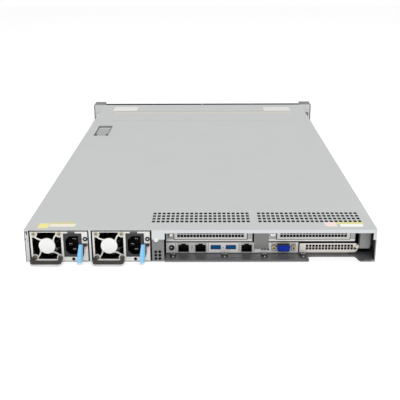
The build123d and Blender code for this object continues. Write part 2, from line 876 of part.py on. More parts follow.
def make_vent_panel():
    """The narrow panel behind the cover's flap, with two columns of three holes."""
    width = vent_panel_width
    panel = Pos(cage_wall_left + width / 2, (sheet + ceiling) / 2) * Rectangle(width, ceiling - sheet)
    panel -= grid(Circle(vent_panel_hole_radius), vent_panel_pitch_x, vent_panel_pitch_z, 2, 3,
                  cage_wall_left + vent_panel_first_x, vent_panel_first_z)
    panel -= Pos(flap_screw_x, flap_bottom) * Circle(flap_shank_radius + pin_clear)
    return upright(panel, rear, sheet)


parts["supply_cage"] = make_cage()
parts["vent_panel"] = make_vent_panel()


def vga_outline(grow):
    """The slanted D of the monitor port, wider at the top, with rounded corners."""
    half = vga_shell_width / 2 + grow
    tall = vga_shell_height + 2 * grow
    taper = tall * sin(radians(vga_slant))
    shape = make_face(Polyline((-half + taper, -tall / 2), (half - taper, -tall / 2), (half, tall / 2),
                               (-half, tall / 2), close=True))
    return fillet(shape.vertices(), vga_corner + grow)


def make_jack(x):
    """A network jack with its stepped cavity."""
    x += io_left
    cavity_z = jack_bottom + jack_sill
    body = upright(rect(x, jack_bottom, jack_width, jack_height), recess_y, port_depth)
    body -= upright(rect(x, cavity_z, jack_cavity_width, jack_cavity_height), recess_y, jack_cavity_depth)
    key_z = cavity_z + jack_cavity_height
    return body - upright(rect(x, key_z, jack_key_width, jack_key_height), recess_y, jack_cavity_depth)


def make_usb_shell(x):
    x += io_left
    shell = rect(x, board_top, usb_width, usb_height)
    shell -= rect(x, board_top + usb_wall, usb_width - 2 * usb_wall, usb_height - 2 * usb_wall)
    return upright(shell, recess_y, port_depth)


def make_usb_tongue(x):
    """The tongue in a USB port, on the block that closes its shell."""
    x += io_left
    inner_width, inner_height = usb_width - 2 * usb_wall, usb_height - 2 * usb_wall
    low = board_top + usb_wall
    back = upright(rect(x, low, inner_width, inner_height), recess_y + usb_tongue_length,
                   port_depth - usb_tongue_length)
    tongue = rect(x, low + usb_tongue_lift, inner_width - 2 * usb_wall, usb_tongue)
    return back + upright(tongue, recess_y + usb_wall, usb_tongue_length)


def make_vga_shell():
    """The monitor port's flange with its D shell and two hexagonal posts."""
    place = Pos(io_left + vga_center, vga_height)
    flange_y = recess_y - vga_flange_sheet
    flange = Rectangle(vga_flange_width, vga_flange_height) - vga_outline(0)
    port = upright(place * flange, flange_y, vga_flange_sheet)
    port += upright(place * (vga_outline(vga_shell_wall) - vga_outline(0)), flange_y - vga_shell_reach,
                    vga_shell_reach)
    for side in (-1, 1):
        post = Pos(side * vga_screw_spread / 2, 0) * RegularPolygon(vga_hex_radius, 6)
        port += upright(place * post, flange_y - vga_hex_length, vga_hex_length)
    return port


def make_vga_insert():
    """The moulded body inside the D shell, through the panel to the board behind."""
    place = Pos(io_left + vga_center, vga_height)
    start = recess_y - vga_flange_sheet - vga_shell_reach + vga_insert_inset
    insert = upright(place * vga_outline(0), start, recess_y - start)
    return insert + upright(place * Rectangle(vga_shell_width, vga_shell_height), recess_y, port_depth)


def make_io_panel():
    """The lower rear panel, cut out round its ports."""
    middle = io_left + panel_width / 2
    panel = rect(middle, sheet, panel_width, panel_top - sheet)
    for x in jack_centers:
        panel -= rect(io_left + x, jack_bottom, jack_width, jack_height)
    for x in usb_centers:
        panel -= rect(io_left + x, board_top, usb_width, usb_height)
    for x in light_pipe_centers:
        panel -= Pos(io_left + x, light_pipe_height) * Circle(light_pipe_radius)
    panel -= Pos(io_left + vga_center, vga_height) * Rectangle(vga_shell_width, vga_shell_height)
    panel -= Pos(io_left + locate_center, locate_height) * Circle(locate_radius + slip)
    return upright(panel, recess_y, panel_sheet)


parts["io_panel"] = make_io_panel()
parts["port_shells"] = (
    [make_jack(x) for x in jack_centers] + [make_usb_shell(x) for x in usb_centers] + [make_vga_shell()]
)
locate_ring = Circle(locate_ring_radius) - Circle(locate_radius + slip)
parts["port_inserts"] = (
    [make_usb_tongue(x) for x in usb_centers]
    + [make_vga_insert()]
    + [upright(Pos(io_left + locate_center, locate_height) * locate_ring, recess_y - locate_ring_depth,
               locate_ring_depth)]
    + [rod("y", io_left + x, recess_y - light_pipe_proud, light_pipe_height, light_pipe_radius,
           light_pipe_length) for x in light_pipe_centers]
)
parts["locate_button"] = rod("y", io_left + locate_center, recess_y - locate_proud, locate_height,
                             locate_radius, locate_length)


def make_riser_bracket(start):
    """A bracket with a raised, perforated blank, a shelf below it and legs that stand on the board."""
    left = io_left + start
    right = left + riser_width
    top = ceiling - slip
    plate = block(left, right, recess_y, recess_y + panel_sheet, riser_bottom, top)
    blank_low = riser_bottom + riser_shelf
    blank_left = left + riser_blank_start
    blank_right = blank_left + riser_blank_width
    blank_y = recess_y - riser_blank_lift
    plate += block(blank_left, blank_right, blank_y, recess_y, blank_low, top)
    plate -= block(blank_left + panel_sheet, blank_right - panel_sheet, blank_y + panel_sheet,
                   recess_y + panel_sheet, blank_low + panel_sheet, top - panel_sheet)
    columns = int((riser_blank_width - 2 * riser_hole_margin) // riser_hole_pitch) + 1
    first_x = (blank_left + blank_right - (columns - 1) * riser_hole_pitch) / 2
    first_z = blank_low + riser_first_row
    rows = int((top - riser_row_pitch / 2 - first_z) // riser_row_pitch) + 1
    holes = grid(Rectangle(riser_hole_size, riser_hole_size), riser_hole_pitch, riser_row_pitch,
                 columns, rows, first_x, first_z)
    plate -= upright(Sketch() + holes, blank_y, panel_sheet)
    leg_end = recess_y + riser_side_length
    foot_start = leg_end - riser_foot_length
    for x in (left, right - panel_sheet):
        plate += block(x, x + panel_sheet, recess_y, leg_end, riser_bottom, top)
        plate += block(x, x + panel_sheet, foot_start, leg_end, board_top, riser_bottom)
    return plate


parts["riser_brackets"] = [make_riser_bracket(start) for start in riser_starts]


def make_fillers():
    """The plate between the riser brackets and the angle bracket in the right corner."""
    left = io_left + filler_start
    top = ceiling - slip
    plate = block(left, left + filler_width, recess_y - panel_sheet, recess_y, filler_bottom, top)
    corner_left = io_left + corner_start
    corner_y = rear + corner_inset
    corner_right = corner_left + corner_width
    corner = block(corner_left, corner_right, corner_y, corner_y + panel_sheet, corner_bottom, top)
    corner += block(corner_left, corner_left + panel_sheet, corner_y, recess_y + panel_sheet,
                    corner_bottom, top)
    corner += block(corner_left, inner_half, recess_y, recess_y + panel_sheet, corner_bottom,
                    ceiling - cover_flange_height - slip)
    return [plate, corner]


parts["filler_plates"] = make_fillers()


def make_mezzanine_blank():
    """The perforated blank of the mezzanine bay, with a web and foot on the floor."""
    left = io_left + mezzanine_start
    width, height = mezzanine_width, mezzanine_height
    face = rect(left + width / 2, mezzanine_bottom, width, height)
    face = fillet(face.vertices().group_by(Axis.X)[-1], mezzanine_round)
    hole = RegularPolygon(mezzanine_hole_size / 2, 6)
    first_x = left + mezzanine_first_hole
    low = mezzanine_bottom + mezzanine_first_row
    room = width - mezzanine_first_hole - mezzanine_hole_end
    holes = int(room // mezzanine_hole_pitch)
    face -= grid(hole, mezzanine_hole_pitch, 0, holes + 1, 1, first_x, low)
    face -= grid(hole, mezzanine_hole_pitch, 0, holes, 1, first_x, low + mezzanine_row_pitch)
    blank = upright(face, recess_y - mezzanine_sheet, mezzanine_sheet)
    web_left, web_right = left + mezzanine_foot_inset, left + width - 2 * mezzanine_foot_inset
    top = mezzanine_bottom + panel_sheet
    blank += block(web_left, web_right, recess_y - mezzanine_sheet, recess_y, sheet, top)
    return blank + block(web_left, web_right, recess_y, recess_y + mezzanine_foot, sheet, sheet + panel_sheet)


parts["mezzanine_blank"] = make_mezzanine_blank()


def board_outline():
    """The main board: full width ahead of the supplies, narrower beside them."""
    left, right = -inner_half + board_side_gap, inner_half - board_side_gap
    beside = cage_wall_left + cage_foot + board_side_gap
    step = rear + supply_length + supply_board_gap
    return make_face(Polyline(
        (beside, recess_y + panel_sheet + board_rear_gap),
        (right, recess_y + panel_sheet + board_rear_gap),
        (right, rear + board_front),
        (left, rear + board_front),
        (left, step),
        (beside, step),
        close=True,
    ))


def make_boards():
    """Main board, riser cards, supply midplane and drive backplane."""
    main = Pos(0, 0, board_bottom) * extrude(board_outline(), board)
    for x in jack_centers:
        main -= block(io_left + x - jack_width / 2, io_left + x + jack_width / 2, recess_y,
                      recess_y + port_depth, board_bottom, board_top)
    half_vga = vga_shell_width / 2
    main -= block(io_left + vga_center - half_vga, io_left + vga_center + half_vga, recess_y,
                  recess_y + port_depth, board_bottom, board_top)
    card_y = recess_y + riser_card_start
    cards = []
    for start in riser_starts:
        x = io_left + start + riser_card_inset
        low = board_top + riser_slot_height
        cards.append(block(x, x + board, card_y, card_y + riser_card_length, low,
                           board_top + riser_card_height))
    y = rear + supply_length + midplane_gap
    midplane = block(-inner_half + board_side_gap, cage_wall_left, y, y + board, sheet,
                     sheet + midplane_height)
    width = 2 * (cage_half - board_side_gap)
    backplane = rect(0, sheet, width, bay_top - sheet)
    pitch = width / backplane_windows
    backplane -= grid(Rectangle(backplane_window_width, backplane_window_height), pitch, 0,
                      backplane_windows, 1, -width / 2 + pitch / 2, backplane_window_bottom)
    return [main] + cards + [midplane, upright(backplane, cage_back - board, board)]


def bank_xs(side):
    """Centres of the memory slots on both sides of one processor."""
    middle = side * inner_half / 2
    first = heat_sink_width / 2 + bank_gap + module_pitch / 2
    offsets = [first + n * module_pitch for n in range(modules_per_bank)]
    return [middle + sign * offset for sign in (-1, 1) for offset in offsets]


processor_y = rear + processor_from_rear


def make_sockets():
    """Processor sockets, memory slots and riser slots on the board."""
    sockets = []
    for side in (-1, 1):
        x = side * inner_half / 2
        half = socket_size / 2
        sockets.append(block(x - half, x + half, processor_y - half, processor_y + half, board_top,
                             board_top + socket_height))
        for slot_x in bank_xs(side):
            half_slot = module_slot_width / 2
            y = processor_y - module_length / 2 - module_slot_width / 2
            sockets.append(block(slot_x - half_slot, slot_x + half_slot, y,
                                 y + module_length + module_slot_width, board_top,
                                 board_top + module_slot_height))
    for start in riser_starts:
        x = io_left + start + riser_card_inset + (board - riser_slot_width) / 2
        y = recess_y + riser_card_start
        sockets.append(block(x, x + riser_slot_width, y, y + riser_card_length, board_top,
                             board_top + riser_slot_height))
    return sockets


def make_modules():
    low = board_top + module_slot_height
    high = duct_bottom - duct_clear
    half, y = module_thickness / 2, processor_y - module_length / 2
    return [block(x - half, x + half, y, y + module_length, low, high)
            for side in (-1, 1) for x in bank_xs(side)]


def make_heat_sink(side):
    """A base plate with straight fins in line with the air flow."""
    middle = side * inner_half / 2
    left = middle - heat_sink_width / 2
    y0, y1 = processor_y - heat_sink_length / 2, processor_y + heat_sink_length / 2
    low = board_top + socket_height
    sink = rect(middle, low, heat_sink_width, heat_sink_base)
    pitch = (heat_sink_width - fin_thickness) / (heat_sink_fins - 1)
    for n in range(heat_sink_fins):
        x = left + n * pitch
        sink += rect(x + fin_thickness / 2, low, fin_thickness, duct_bottom - duct_clear - low)
    return upright(sink, y0, y1 - y0)


def make_duct():
    """The air duct over processors and memory: a top with two skirts that stand on the board."""
    half = inner_half - duct_side_gap
    y0, y1 = rear + duct_start, rear + duct_end
    duct = block(-half, half, y0, y1, duct_bottom, duct_bottom + duct_sheet)
    duct += block(-half, -half + duct_sheet, y0, y1, board_top, duct_bottom)
    return duct + block(half - duct_sheet, half, y0, y1, board_top, duct_bottom)


parts["circuit_boards"] = make_boards()
parts["board_sockets"] = make_sockets()
parts["memory_modules"] = make_modules()
parts["heat_sinks"] = [make_heat_sink(side) for side in (-1, 1)]
parts["air_duct"] = make_duct()

fan_height = ceiling - fan_top_clear - sheet
fan_bore_radius = fan_height / 2 - fan_shell
fan_z = sheet + fan_height / 2
fan_xs = [(n - (fan_count - 1) / 2) * fan_pitch for n in range(fan_count)]
parts["fan_frames"] = [
    make_fan_frame(x, fan_z, fan_width, fan_height, fan_bore_radius, inner_hub_radius, fan_back, fan_length)
    for x in fan_xs
]
for n, x in enumerate(fan_xs, 1):
    parts[f"fan_rotor_{n}"] = make_rotor(x, fan_z, inner_hub_radius, fan_bore_radius - blade_clear,
                                         inner_rotor_depth, inner_blades, fan_back, fan_length)


def make_studs():
    """Rail studs on the sides, board standoffs on the floor and the strike for the cover latch."""
    studs = []
    for share in stud_shares:
        y = rear + share * body_depth
        stud = rod("x", half_width, y, mid_height, stud_radius, stud_reach)
        stud += rod("x", half_width + stud_reach - stud_head, y, mid_height, stud_head_radius, stud_head)
        studs += [stud, mirrored(stud)]
    beside = cage_wall_left + cage_foot + board_side_gap
    right = inner_half - board_side_gap - standoff_inset
    rows = [(beside + standoff_inset, recess_y + riser_side_length), (right, recess_y + port_depth)]
    rows += [(x, rear + duct_start) for x in (-right, right)]
    rows += [(x, rear + board_front - standoff_inset) for x in (-right, right)]
    for x, y in rows:
        hexagon = Pos(x, y, sheet) * RegularPolygon(standoff_radius, 6)
        studs.append(extrude(hexagon, standoff_height))
    post_left = cam_right + slip
    post = block(post_left, post_left + strike_post, strike_y - strike_post / 2,
                 strike_y + strike_post / 2, sheet, strike_z + strike_post / 2)
    post += rod("x", cam_left - strike_radius, strike_y, strike_z, strike_radius,
                post_left - cam_left + strike_radius)
    return studs + [post]


parts["studs"] = make_studs()


def make_drive_cage():
    """Walls between the drive bays under one top sheet."""
    cage = block(-cage_half, cage_half, cage_back, front, bay_top, ceiling)
    for n in range(drive_count + 1):
        x = -cage_half + n * bay_pitch
        cage += block(x, x + bay_wall, cage_back, front, sheet, bay_top)
    return cage


parts["drive_cage"] = make_drive_cage()
carrier_width = bay_pitch - bay_wall - 2 * carrier_gap
carrier_bottom = sheet + carrier_gap
bezel_top = body_height - ear_edge_gap
bezel_back = front + bezel_reach - bezel_depth
bezel_front = front + bezel_reach
lever_bottom = carrier_bottom + drive_lever_bottom
lever_top = lever_bottom + drive_lever_height
lever_y = bezel_front - drive_lever_thickness / 2 - slip


def lever_x(left):
    return left + drive_lever_inset + drive_lever_thickness / 2


def make_carrier(left):
    """A drive carrier: floor, side rails and a vented bezel with pockets for lever and button."""
    right = left + carrier_width
    rail = (carrier_width - disk_width) / 2
    back = bezel_back - disk_length
    carrier = block(left, right, back, bezel_back, carrier_bottom, carrier_bottom + rail_height)
    carrier -= block(left + rail, right - rail, back, bezel_back, carrier_bottom + carrier_floor,
                     carrier_bottom + rail_height)
    bezel = block(left, right, bezel_back, bezel_front, carrier_bottom, bezel_top)
    bezel = chamfer(bezel.edges().group_by(Axis.Y)[-1], bezel_chamfer)
    vent = Rectangle(bezel_vent_width, bezel_vent_height)
    pitch = carrier_width / bezel_vent_columns
    vents = grid(vent, pitch, bezel_vent_pitch, bezel_vent_columns, bezel_vent_rows, left + pitch / 2,
                 lever_top + bezel_vent_pitch)
    bezel -= upright(Sketch() + vents, bezel_back, bezel_depth)
    pocket_left = left + drive_lever_inset - slip
    pocket_right = pocket_left + drive_lever_length + 2 * slip
    bezel -= block(pocket_left, pocket_right, bezel_front - drive_lever_thickness - 3 * slip, bezel_front,
                   lever_bottom - slip, lever_top + slip)
    bezel -= block(pocket_right + bay_wall, pocket_right + bay_wall + drive_button_width + 2 * slip,
                   bezel_front + drive_button_proud - drive_button_depth - drive_button_travel - slip,
                   bezel_front, lever_bottom - slip, lever_top + slip)
    bezel -= rod("z", lever_x(left), lever_y, lever_bottom - slip - drive_pin_length,
                 drive_pin_radius + pin_clear, drive_lever_height + 2 * slip + 2 * drive_pin_length)
    disk = block(left + rail, right - rail, back, bezel_back, carrier_bottom + carrier_floor,
                 carrier_bottom + carrier_floor + disk_height)
    return [carrier + bezel, disk]


def make_drive_lever(left):
    """The carrier's lever, turning on a barrel with a pin at each end."""
    x = lever_x(left)
    half = drive_lever_thickness / 2
    lever = block(x, left + drive_lever_inset + drive_lever_length, lever_y - half, lever_y + half,
                  lever_bottom, lever_top)
    lever = fillet(lever.edges().filter_by(Axis.Y).group_by(Axis.X)[-1], drive_lever_thickness)
    lever += rod("z", x, lever_y, lever_bottom, half, drive_lever_height)
    pin_low = lever_bottom - drive_pin_length
    return lever + rod("z", x, lever_y, pin_low, drive_pin_radius, drive_lever_height + 2 * drive_pin_length)


def make_drive_button(left):
    x = left + drive_lever_inset + drive_lever_length + bay_wall + 2 * slip
    y = bezel_front + drive_button_proud
    return block(x, x + drive_button_width, y - drive_button_depth, y, lever_bottom, lever_top)


for n in range(drive_count):
    left = -cage_half + n * bay_pitch + bay_wall + carrier_gap
    parts[f"drive_{n + 1}"] = make_carrier(left)
    parts[f"drive_lever_{n + 1}"] = make_drive_lever(left)
    parts[f"drive_button_{n + 1}"] = make_drive_button(left)

for name, shape in parts.items():
    solids = shape if isinstance(shape, list) else [shape]
    export_step(Compound(children=solids), f"parts/{name}.step")
print(len(parts), "nodes written")
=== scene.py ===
import bpy
import bmesh
import numpy as np
from mathutils import Matrix, Vector


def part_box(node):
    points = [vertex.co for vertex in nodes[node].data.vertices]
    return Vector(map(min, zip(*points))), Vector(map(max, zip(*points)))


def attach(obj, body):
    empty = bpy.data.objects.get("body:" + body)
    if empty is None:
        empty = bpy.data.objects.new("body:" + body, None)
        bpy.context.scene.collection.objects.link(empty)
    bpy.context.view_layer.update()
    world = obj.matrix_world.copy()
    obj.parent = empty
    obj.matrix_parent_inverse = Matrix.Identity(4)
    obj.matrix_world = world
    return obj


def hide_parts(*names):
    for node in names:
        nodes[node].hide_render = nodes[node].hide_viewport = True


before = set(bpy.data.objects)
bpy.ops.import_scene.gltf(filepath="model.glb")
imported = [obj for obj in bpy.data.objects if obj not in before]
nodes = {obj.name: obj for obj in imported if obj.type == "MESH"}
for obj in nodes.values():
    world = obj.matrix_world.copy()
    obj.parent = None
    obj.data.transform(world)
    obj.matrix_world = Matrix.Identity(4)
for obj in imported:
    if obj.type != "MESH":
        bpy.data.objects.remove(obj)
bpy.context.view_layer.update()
mm = 0.001
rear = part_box("vent_panel")[0].y          # the rear panel's plane
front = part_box("chassis_tray")[1].y       # the plane of the rack ears
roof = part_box("rear_cover")[1].z          # top of the covers
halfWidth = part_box("chassis_tray")[1].x
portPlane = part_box("io_panel")[0].y
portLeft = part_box("io_panel")[0].x
left, half = portLeft / mm, halfWidth / mm           # in millimetres: the port panel's left edge, half the
roofTop, earPlane = roof / mm, (front - rear) / mm   # width, the covers' top, and the ears from the rear panel
print("frame loaded:", len(nodes), "nodes")


# Faces of a grid of points, row after row, whose last column joins its first.
def gridFaces(rows, columns):
    i, j = np.meshgrid(np.arange(rows - 1), np.arange(columns), indexing="ij")
    k = (j + 1) % columns
    quads = [i * columns + j, i * columns + k, (i + 1) * columns + k, (i + 1) * columns + j]
    return np.stack(quads, -1).reshape(-1, 4)


meshing = {"merge": 1e-6, "sliver": 1e-7, "sharp": 35}


# One mesh object from several grids, each an array of rows x columns x 3. Doubles are merged and normals
# turned outward.
def makePiece(name, grids, material, body):
    points, faces, count = [], [], 0
    for grid in grids:
        rows, columns = grid.shape[:2]
        faces.append(gridFaces(rows, columns) + count)
        points.append(grid.reshape(-1, 3))
        count += rows * columns
    mesh = bpy.data.meshes.new(name)
    mesh.from_pydata(np.concatenate(points).tolist(), [], np.concatenate(faces).tolist())
    work = bmesh.new()
    work.from_mesh(mesh)
    bmesh.ops.remove_doubles(work, verts=work.verts, dist=meshing["merge"])
    bmesh.ops.dissolve_degenerate(work, edges=work.edges, dist=meshing["sliver"])
    bmesh.ops.recalc_face_normals(work, faces=work.faces)
    work.to_mesh(mesh)
    work.free()
    mesh.polygons.foreach_set("use_smooth", np.full(len(mesh.polygons), True))
    mesh.set_sharp_from_angle(angle=np.radians(meshing["sharp"]))
    mesh.materials.append(material)
    piece = bpy.data.objects.new(name, mesh)
    bpy.context.scene.collection.objects.link(piece)
    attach(piece, body)
    return piece


# Turns local points, whose third axis points out of a surface, to a place with that outward normal. A nearly
# upright normal takes X as its side.
def stand(points, centre, normal, upright=0.9):
    out = np.array(normal, float)
    side = np.cross((0, 0, 1), out) if abs(out[2]) < upright else np.array((1.0, 0, 0))
    side = side / np.linalg.norm(side)
    basis = np.array([side, np.cross(out, side), out])
    return points @ basis + np.array(centre, float)


# A turned shape: radius and height pairs carried once round the third axis, closed at both poles.
def turned(profile, centre, normal, steps=24):
    radius, height = np.array(profile, float).T
    angle = np.linspace(0, 2 * np.pi, steps, endpoint=False)
    ring = np.stack([np.cos(angle), np.sin(angle), np.zeros(steps)], -1)
    points = radius[:, None, None] * ring + height[:, None, None] * np.array((0, 0, 1.0))
    return stand(points, centre, normal)


head = {"shares": (0, 0.16, 0.24, 0.34, 0.5, 0.56, 0.72, 0.88, 0.97, 1.0), "fall": 0.45, "reach": 0.55,
        "slot": 0.36, "sink": 0.4, "deepest": 1.2}


# A screw head: a dome that falls with the square of the radius, less a cross where x or y is small.
def crossHead(centre, normal, radius, height, cross, depth, steps=32):
    angle = np.linspace(0, 2 * np.pi, steps, endpoint=False)
    share = np.array(head["shares"])[:, None]
    r = share * radius
    x, y = r * np.cos(angle), r * np.sin(angle)
    dome = height * (1 - head["fall"] * share ** 2) * np.ones_like(x)
    cut = (np.minimum(abs(x), abs(y)) < cross / 2) & (r < head["reach"] * radius)
    crown = np.stack([x, y, np.where(cut, dome - depth, dome)], -1)
    side = np.stack([x[-1:], y[-1:], np.zeros((1, steps))], -1)
    bottom = np.zeros((1, steps, 3))
    return stand(np.concatenate([crown, side, bottom]), centre, normal)


rim = {"rings": 4, "greatest": 0.9}      # rings of a plate's rim, and the bevel's greatest share of a corner


# A flat plate: a rounded rectangle whose rim falls in a quarter circle, filled towards its middle.
def roundedPlate(width, length, corner, thickness, centre, normal, bevel=0.25, steps=6):
    quarter = np.linspace(0, np.pi / 2, steps)
    bevel = min(bevel * thickness, corner * rim["greatest"])
    rings = [(width, length, corner, 0.0)]
    for turn in np.linspace(0, np.pi / 2, rim["rings"]):
        inset = bevel * (1 - np.cos(turn))
        rings.append((width - 2 * inset, length - 2 * inset, corner - inset,
                      thickness - bevel + bevel * np.sin(turn)))
    grid = []
    for w, l, c, z in rings:
        ring = []
        for n, (sx, sy) in enumerate(((1, 1), (-1, 1), (-1, -1), (1, -1))):
            turn = quarter + n * np.pi / 2
            ring.append(np.stack([sx * (w / 2 - c) + c * np.cos(turn), sy * (l / 2 - c) + c * np.sin(turn),
                                  np.full(steps, z)], -1))
        grid.append(np.concatenate(ring))
    middle = np.zeros_like(grid[0])
    return stand(np.stack([middle] + grid + [middle + (0, 0, rings[-1][3])]), centre, normal)


# Colours are written as they should look on screen, 0 to 255, and turned to linear light by the sRGB curve.
def screen(red, green, blue):
    value = np.array([red, green, blue]) / 255
    value = np.where(value <= 0.04045, value / 12.92, ((value + 0.055) / 1.055) ** 2.4)
    return (*value.tolist(), 1.0)


# Fills a socket from another node's output, or with a fixed value.
def feed(tree, socket, value):
    if isinstance(value, bpy.types.NodeSocket):
        tree.links.new(value, socket)
    else:
        socket.default_value = value


def addNode(tree, kind, **settings):
    node = tree.nodes.new(kind)
    for key, value in settings.items():
        if hasattr(node, key):
            setattr(node, key, value)
        else:
            feed(tree, node.inputs[key], value)
    return node


def addStep(tree, kind, operation, *values):
    node = addNode(tree, kind, operation=operation)
    for socket, value in zip(node.inputs, values):
        feed(tree, socket, value)
    return node


def addMath(tree, operation, *values):
    return addStep(tree, "ShaderNodeMath", operation, *values).outputs[0]


def addVector(tree, operation, *values):
    return addStep(tree, "ShaderNodeVectorMath", operation, *values).outputs[0]


def clamped(tree, value):
    return addNode(tree, "ShaderNodeClamp", Value=value).outputs[0]


# A mix from the first value to the second, by a mask: a Mix node's sockets depend on its kind.
def addMix(tree, kind, mask, first, second):
    node = addNode(tree, "ShaderNodeMix", data_type=kind)
    places, result = ((0, 6, 7), 2) if kind == "RGBA" else ((0, 2, 3), 0)
    for place, value in zip(places, (mask, first, second)):
        feed(tree, node.inputs[place], value)
    return node.outputs[result]


# One inside, nought outside, over a soft rim: a distance over the rim's width, plus a half, clamped.
def softEdge(tree, inside, soft):
    return clamped(tree, addMath(tree, "ADD", addMath(tree, "DIVIDE", inside, soft), 0.5))


# Shared effects, each a node group with named sockets.
def openGroup(name, inputs, outputs):
    group = bpy.data.node_groups.new(name, "ShaderNodeTree")
    for label, kind, value in inputs:
        socket = group.interface.new_socket(label, in_out="INPUT", socket_type=kind)
        if value is not None:
            socket.default_value = value
    for label, kind in outputs:
        group.interface.new_socket(label, in_out="OUTPUT", socket_type=kind)
    return group, group.nodes.new("NodeGroupInput").outputs, group.nodes.new("NodeGroupOutput").inputs


grainMix = {"detail": 4.0, "roughness": 0.6, "broadScale": 18.0, "broadDetail": 2.0, "fineShare": 0.65,
            "contrast": 3.0, "offset": -1.0}


# Grain: fine noise over broad noise, stretched by a vector, shifts the colour, the roughness and the height.
def makeGrainGroup():
    group, start, end = openGroup(
        "surfaceGrain",
        [("Vector", "NodeSocketVector", None), ("Stretch", "NodeSocketVector", (1, 1, 1)),
         ("Colour", "NodeSocketColor", None), ("Deep", "NodeSocketColor", None),
         ("Amount", "NodeSocketFloat", 0.5), ("Rough", "NodeSocketFloat", 0.4),
         ("Spread", "NodeSocketFloat", 0.1)],
        [("Colour", "NodeSocketColor"), ("Roughness", "NodeSocketFloat"), ("Height", "NodeSocketFloat")])
    scaled = addVector(group, "MULTIPLY", start["Vector"], start["Stretch"])
    fine = addNode(group, "ShaderNodeTexNoise", Vector=scaled, Scale=1.0, Detail=grainMix["detail"],
                   Roughness=grainMix["roughness"]).outputs[0]
    broad = addNode(group, "ShaderNodeTexNoise", Vector=start["Vector"], Scale=grainMix["broadScale"],
                    Detail=grainMix["broadDetail"]).outputs[0]
    mixed = addMath(group, "MULTIPLY_ADD", fine, grainMix["fineShare"],
                    addMath(group, "MULTIPLY", broad, 1 - grainMix["fineShare"]))
    swing = addMath(group, "MULTIPLY_ADD", mixed, grainMix["contrast"], grainMix["offset"])
    amount = addMath(group, "MULTIPLY", clamped(group, swing), start["Amount"])
    spread = addMath(group, "MULTIPLY", addMath(group, "SUBTRACT", mixed, 0.5), start["Spread"])
    group.links.new(addMix(group, "RGBA", amount, start["Colour"], start["Deep"]), end["Colour"])
    group.links.new(addMath(group, "ADD", start["Rough"], spread), end["Roughness"])
    group.links.new(fine, end["Height"])
    return group


# A box mask: the least over three axes of how far a point lies inside, with soft sides.
def makeBoxGroup():
    group, start, end = openGroup(
        "boxZone",
        [("Vector", "NodeSocketVector", None), ("Low", "NodeSocketVector", (0, 0, 0)),
         ("High", "NodeSocketVector", (0, 0, 0)), ("Soft", "NodeSocketFloat", 0.0001)],
        [("Mask", "NodeSocketFloat")])
    over = addVector(group, "SUBTRACT", start["Vector"], start["Low"])
    under = addVector(group, "SUBTRACT", start["High"], start["Vector"])
    parts = addNode(group, "ShaderNodeSeparateXYZ", Vector=addVector(group, "MINIMUM", over, under)).outputs
    inside = addMath(group, "MINIMUM", addMath(group, "MINIMUM", parts[0], parts[1]), parts[2])
    group.links.new(softEdge(group, inside, start["Soft"]), end["Mask"])
    return group


# A disc mask: one inside a radius about an axis along Y, falling to nothing over a soft rim.
def makeDiscGroup():
    group, start, end = openGroup(
        "discZone",
        [("Vector", "NodeSocketVector", None), ("Centre", "NodeSocketVector", (0, 0, 0)),
         ("Radius", "NodeSocketFloat", 0.01), ("Soft", "NodeSocketFloat", 0.0002)],
        [("Mask", "NodeSocketFloat")])
    offset = addVector(group, "SUBTRACT", start["Vector"], start["Centre"])
    flat = addVector(group, "MULTIPLY", offset, (1, 0, 1))
    distance = addStep(group, "ShaderNodeVectorMath", "LENGTH", flat).outputs["Value"]
    inside = addMath(group, "SUBTRACT", start["Radius"], distance)
    group.links.new(softEdge(group, inside, start["Soft"]), end["Mask"])
    return group


# A grid mask: squares repeated along X and Z inside a box. PINGPONG gives a point's distance from the nearest
# centre.
def makeGridGroup():
    group, start, end = openGroup(
        "gridZone",
        [("Vector", "NodeSocketVector", None), ("Low", "NodeSocketVector", (0, 0, 0)),
         ("High", "NodeSocketVector", (0, 0, 0)), ("First", "NodeSocketVector", (0, 0, 0)),
         ("Step", "NodeSocketVector", (0.004, 1, 0.004)), ("Half", "NodeSocketFloat", 0.001),
         ("Soft", "NodeSocketFloat", 0.0002)],
        [("Mask", "NodeSocketFloat")])
    window = addNode(group, "ShaderNodeGroup", node_tree=boxGroup)
    for label in ("Vector", "Low", "High"):
        group.links.new(start[label], window.inputs[label])
    offset = addVector(group, "SUBTRACT", start["Vector"], start["First"])
    parts = addNode(group, "ShaderNodeSeparateXYZ", Vector=offset).outputs
    step = addNode(group, "ShaderNodeSeparateXYZ", Vector=start["Step"]).outputs
    across, up = [addMath(group, "PINGPONG", parts[n], addMath(group, "MULTIPLY", step[n], 0.5))
                  for n in (0, 2)]
    inside = addMath(group, "SUBTRACT", start["Half"], addMath(group, "MAXIMUM", across, up))
    square = softEdge(group, inside, start["Soft"])
    group.links.new(addMath(group, "MULTIPLY", square, window.outputs[0]), end["Mask"])
    return group


grainGroup = makeGrainGroup()
boxGroup = makeBoxGroup()
discGroup = makeDiscGroup()
gridGroup = makeGridGroup()


# Zones in millimetres, with y from the rear panel: a box from three ranges, a disc about an axis along Y, or
# square holes painted black as shade, from a first centre, counts, steps and half a hole's width.
def area(x, y, z, colour, **more):
    low = (x[0] * mm, rear + y[0] * mm, z[0] * mm)
    high = (x[1] * mm, rear + y[1] * mm, z[1] * mm)
    return dict(more, low=low, high=high, colour=colour)


def disc(x, z, radius, colour, **more):
    return dict(more, centre=(x * mm, rear, z * mm), radius=radius * mm, colour=colour)


# Black painted as the shade in a grid of square holes.
def holes(first, count, step, halfHole):
    (x, z), (columns, rows), (dx, dz) = first, count, step
    window = area((x - dx / 2, x + (columns - 0.5) * dx), (-1, 200), (z - dz / 2, z + (rows - 0.5) * dz),
                  (4, 4, 4), rough=0.8, metal=0.0)
    return dict(window, first=(x * mm, 0, z * mm), step=(dx * mm, 1, dz * mm), half=halfHole * mm)


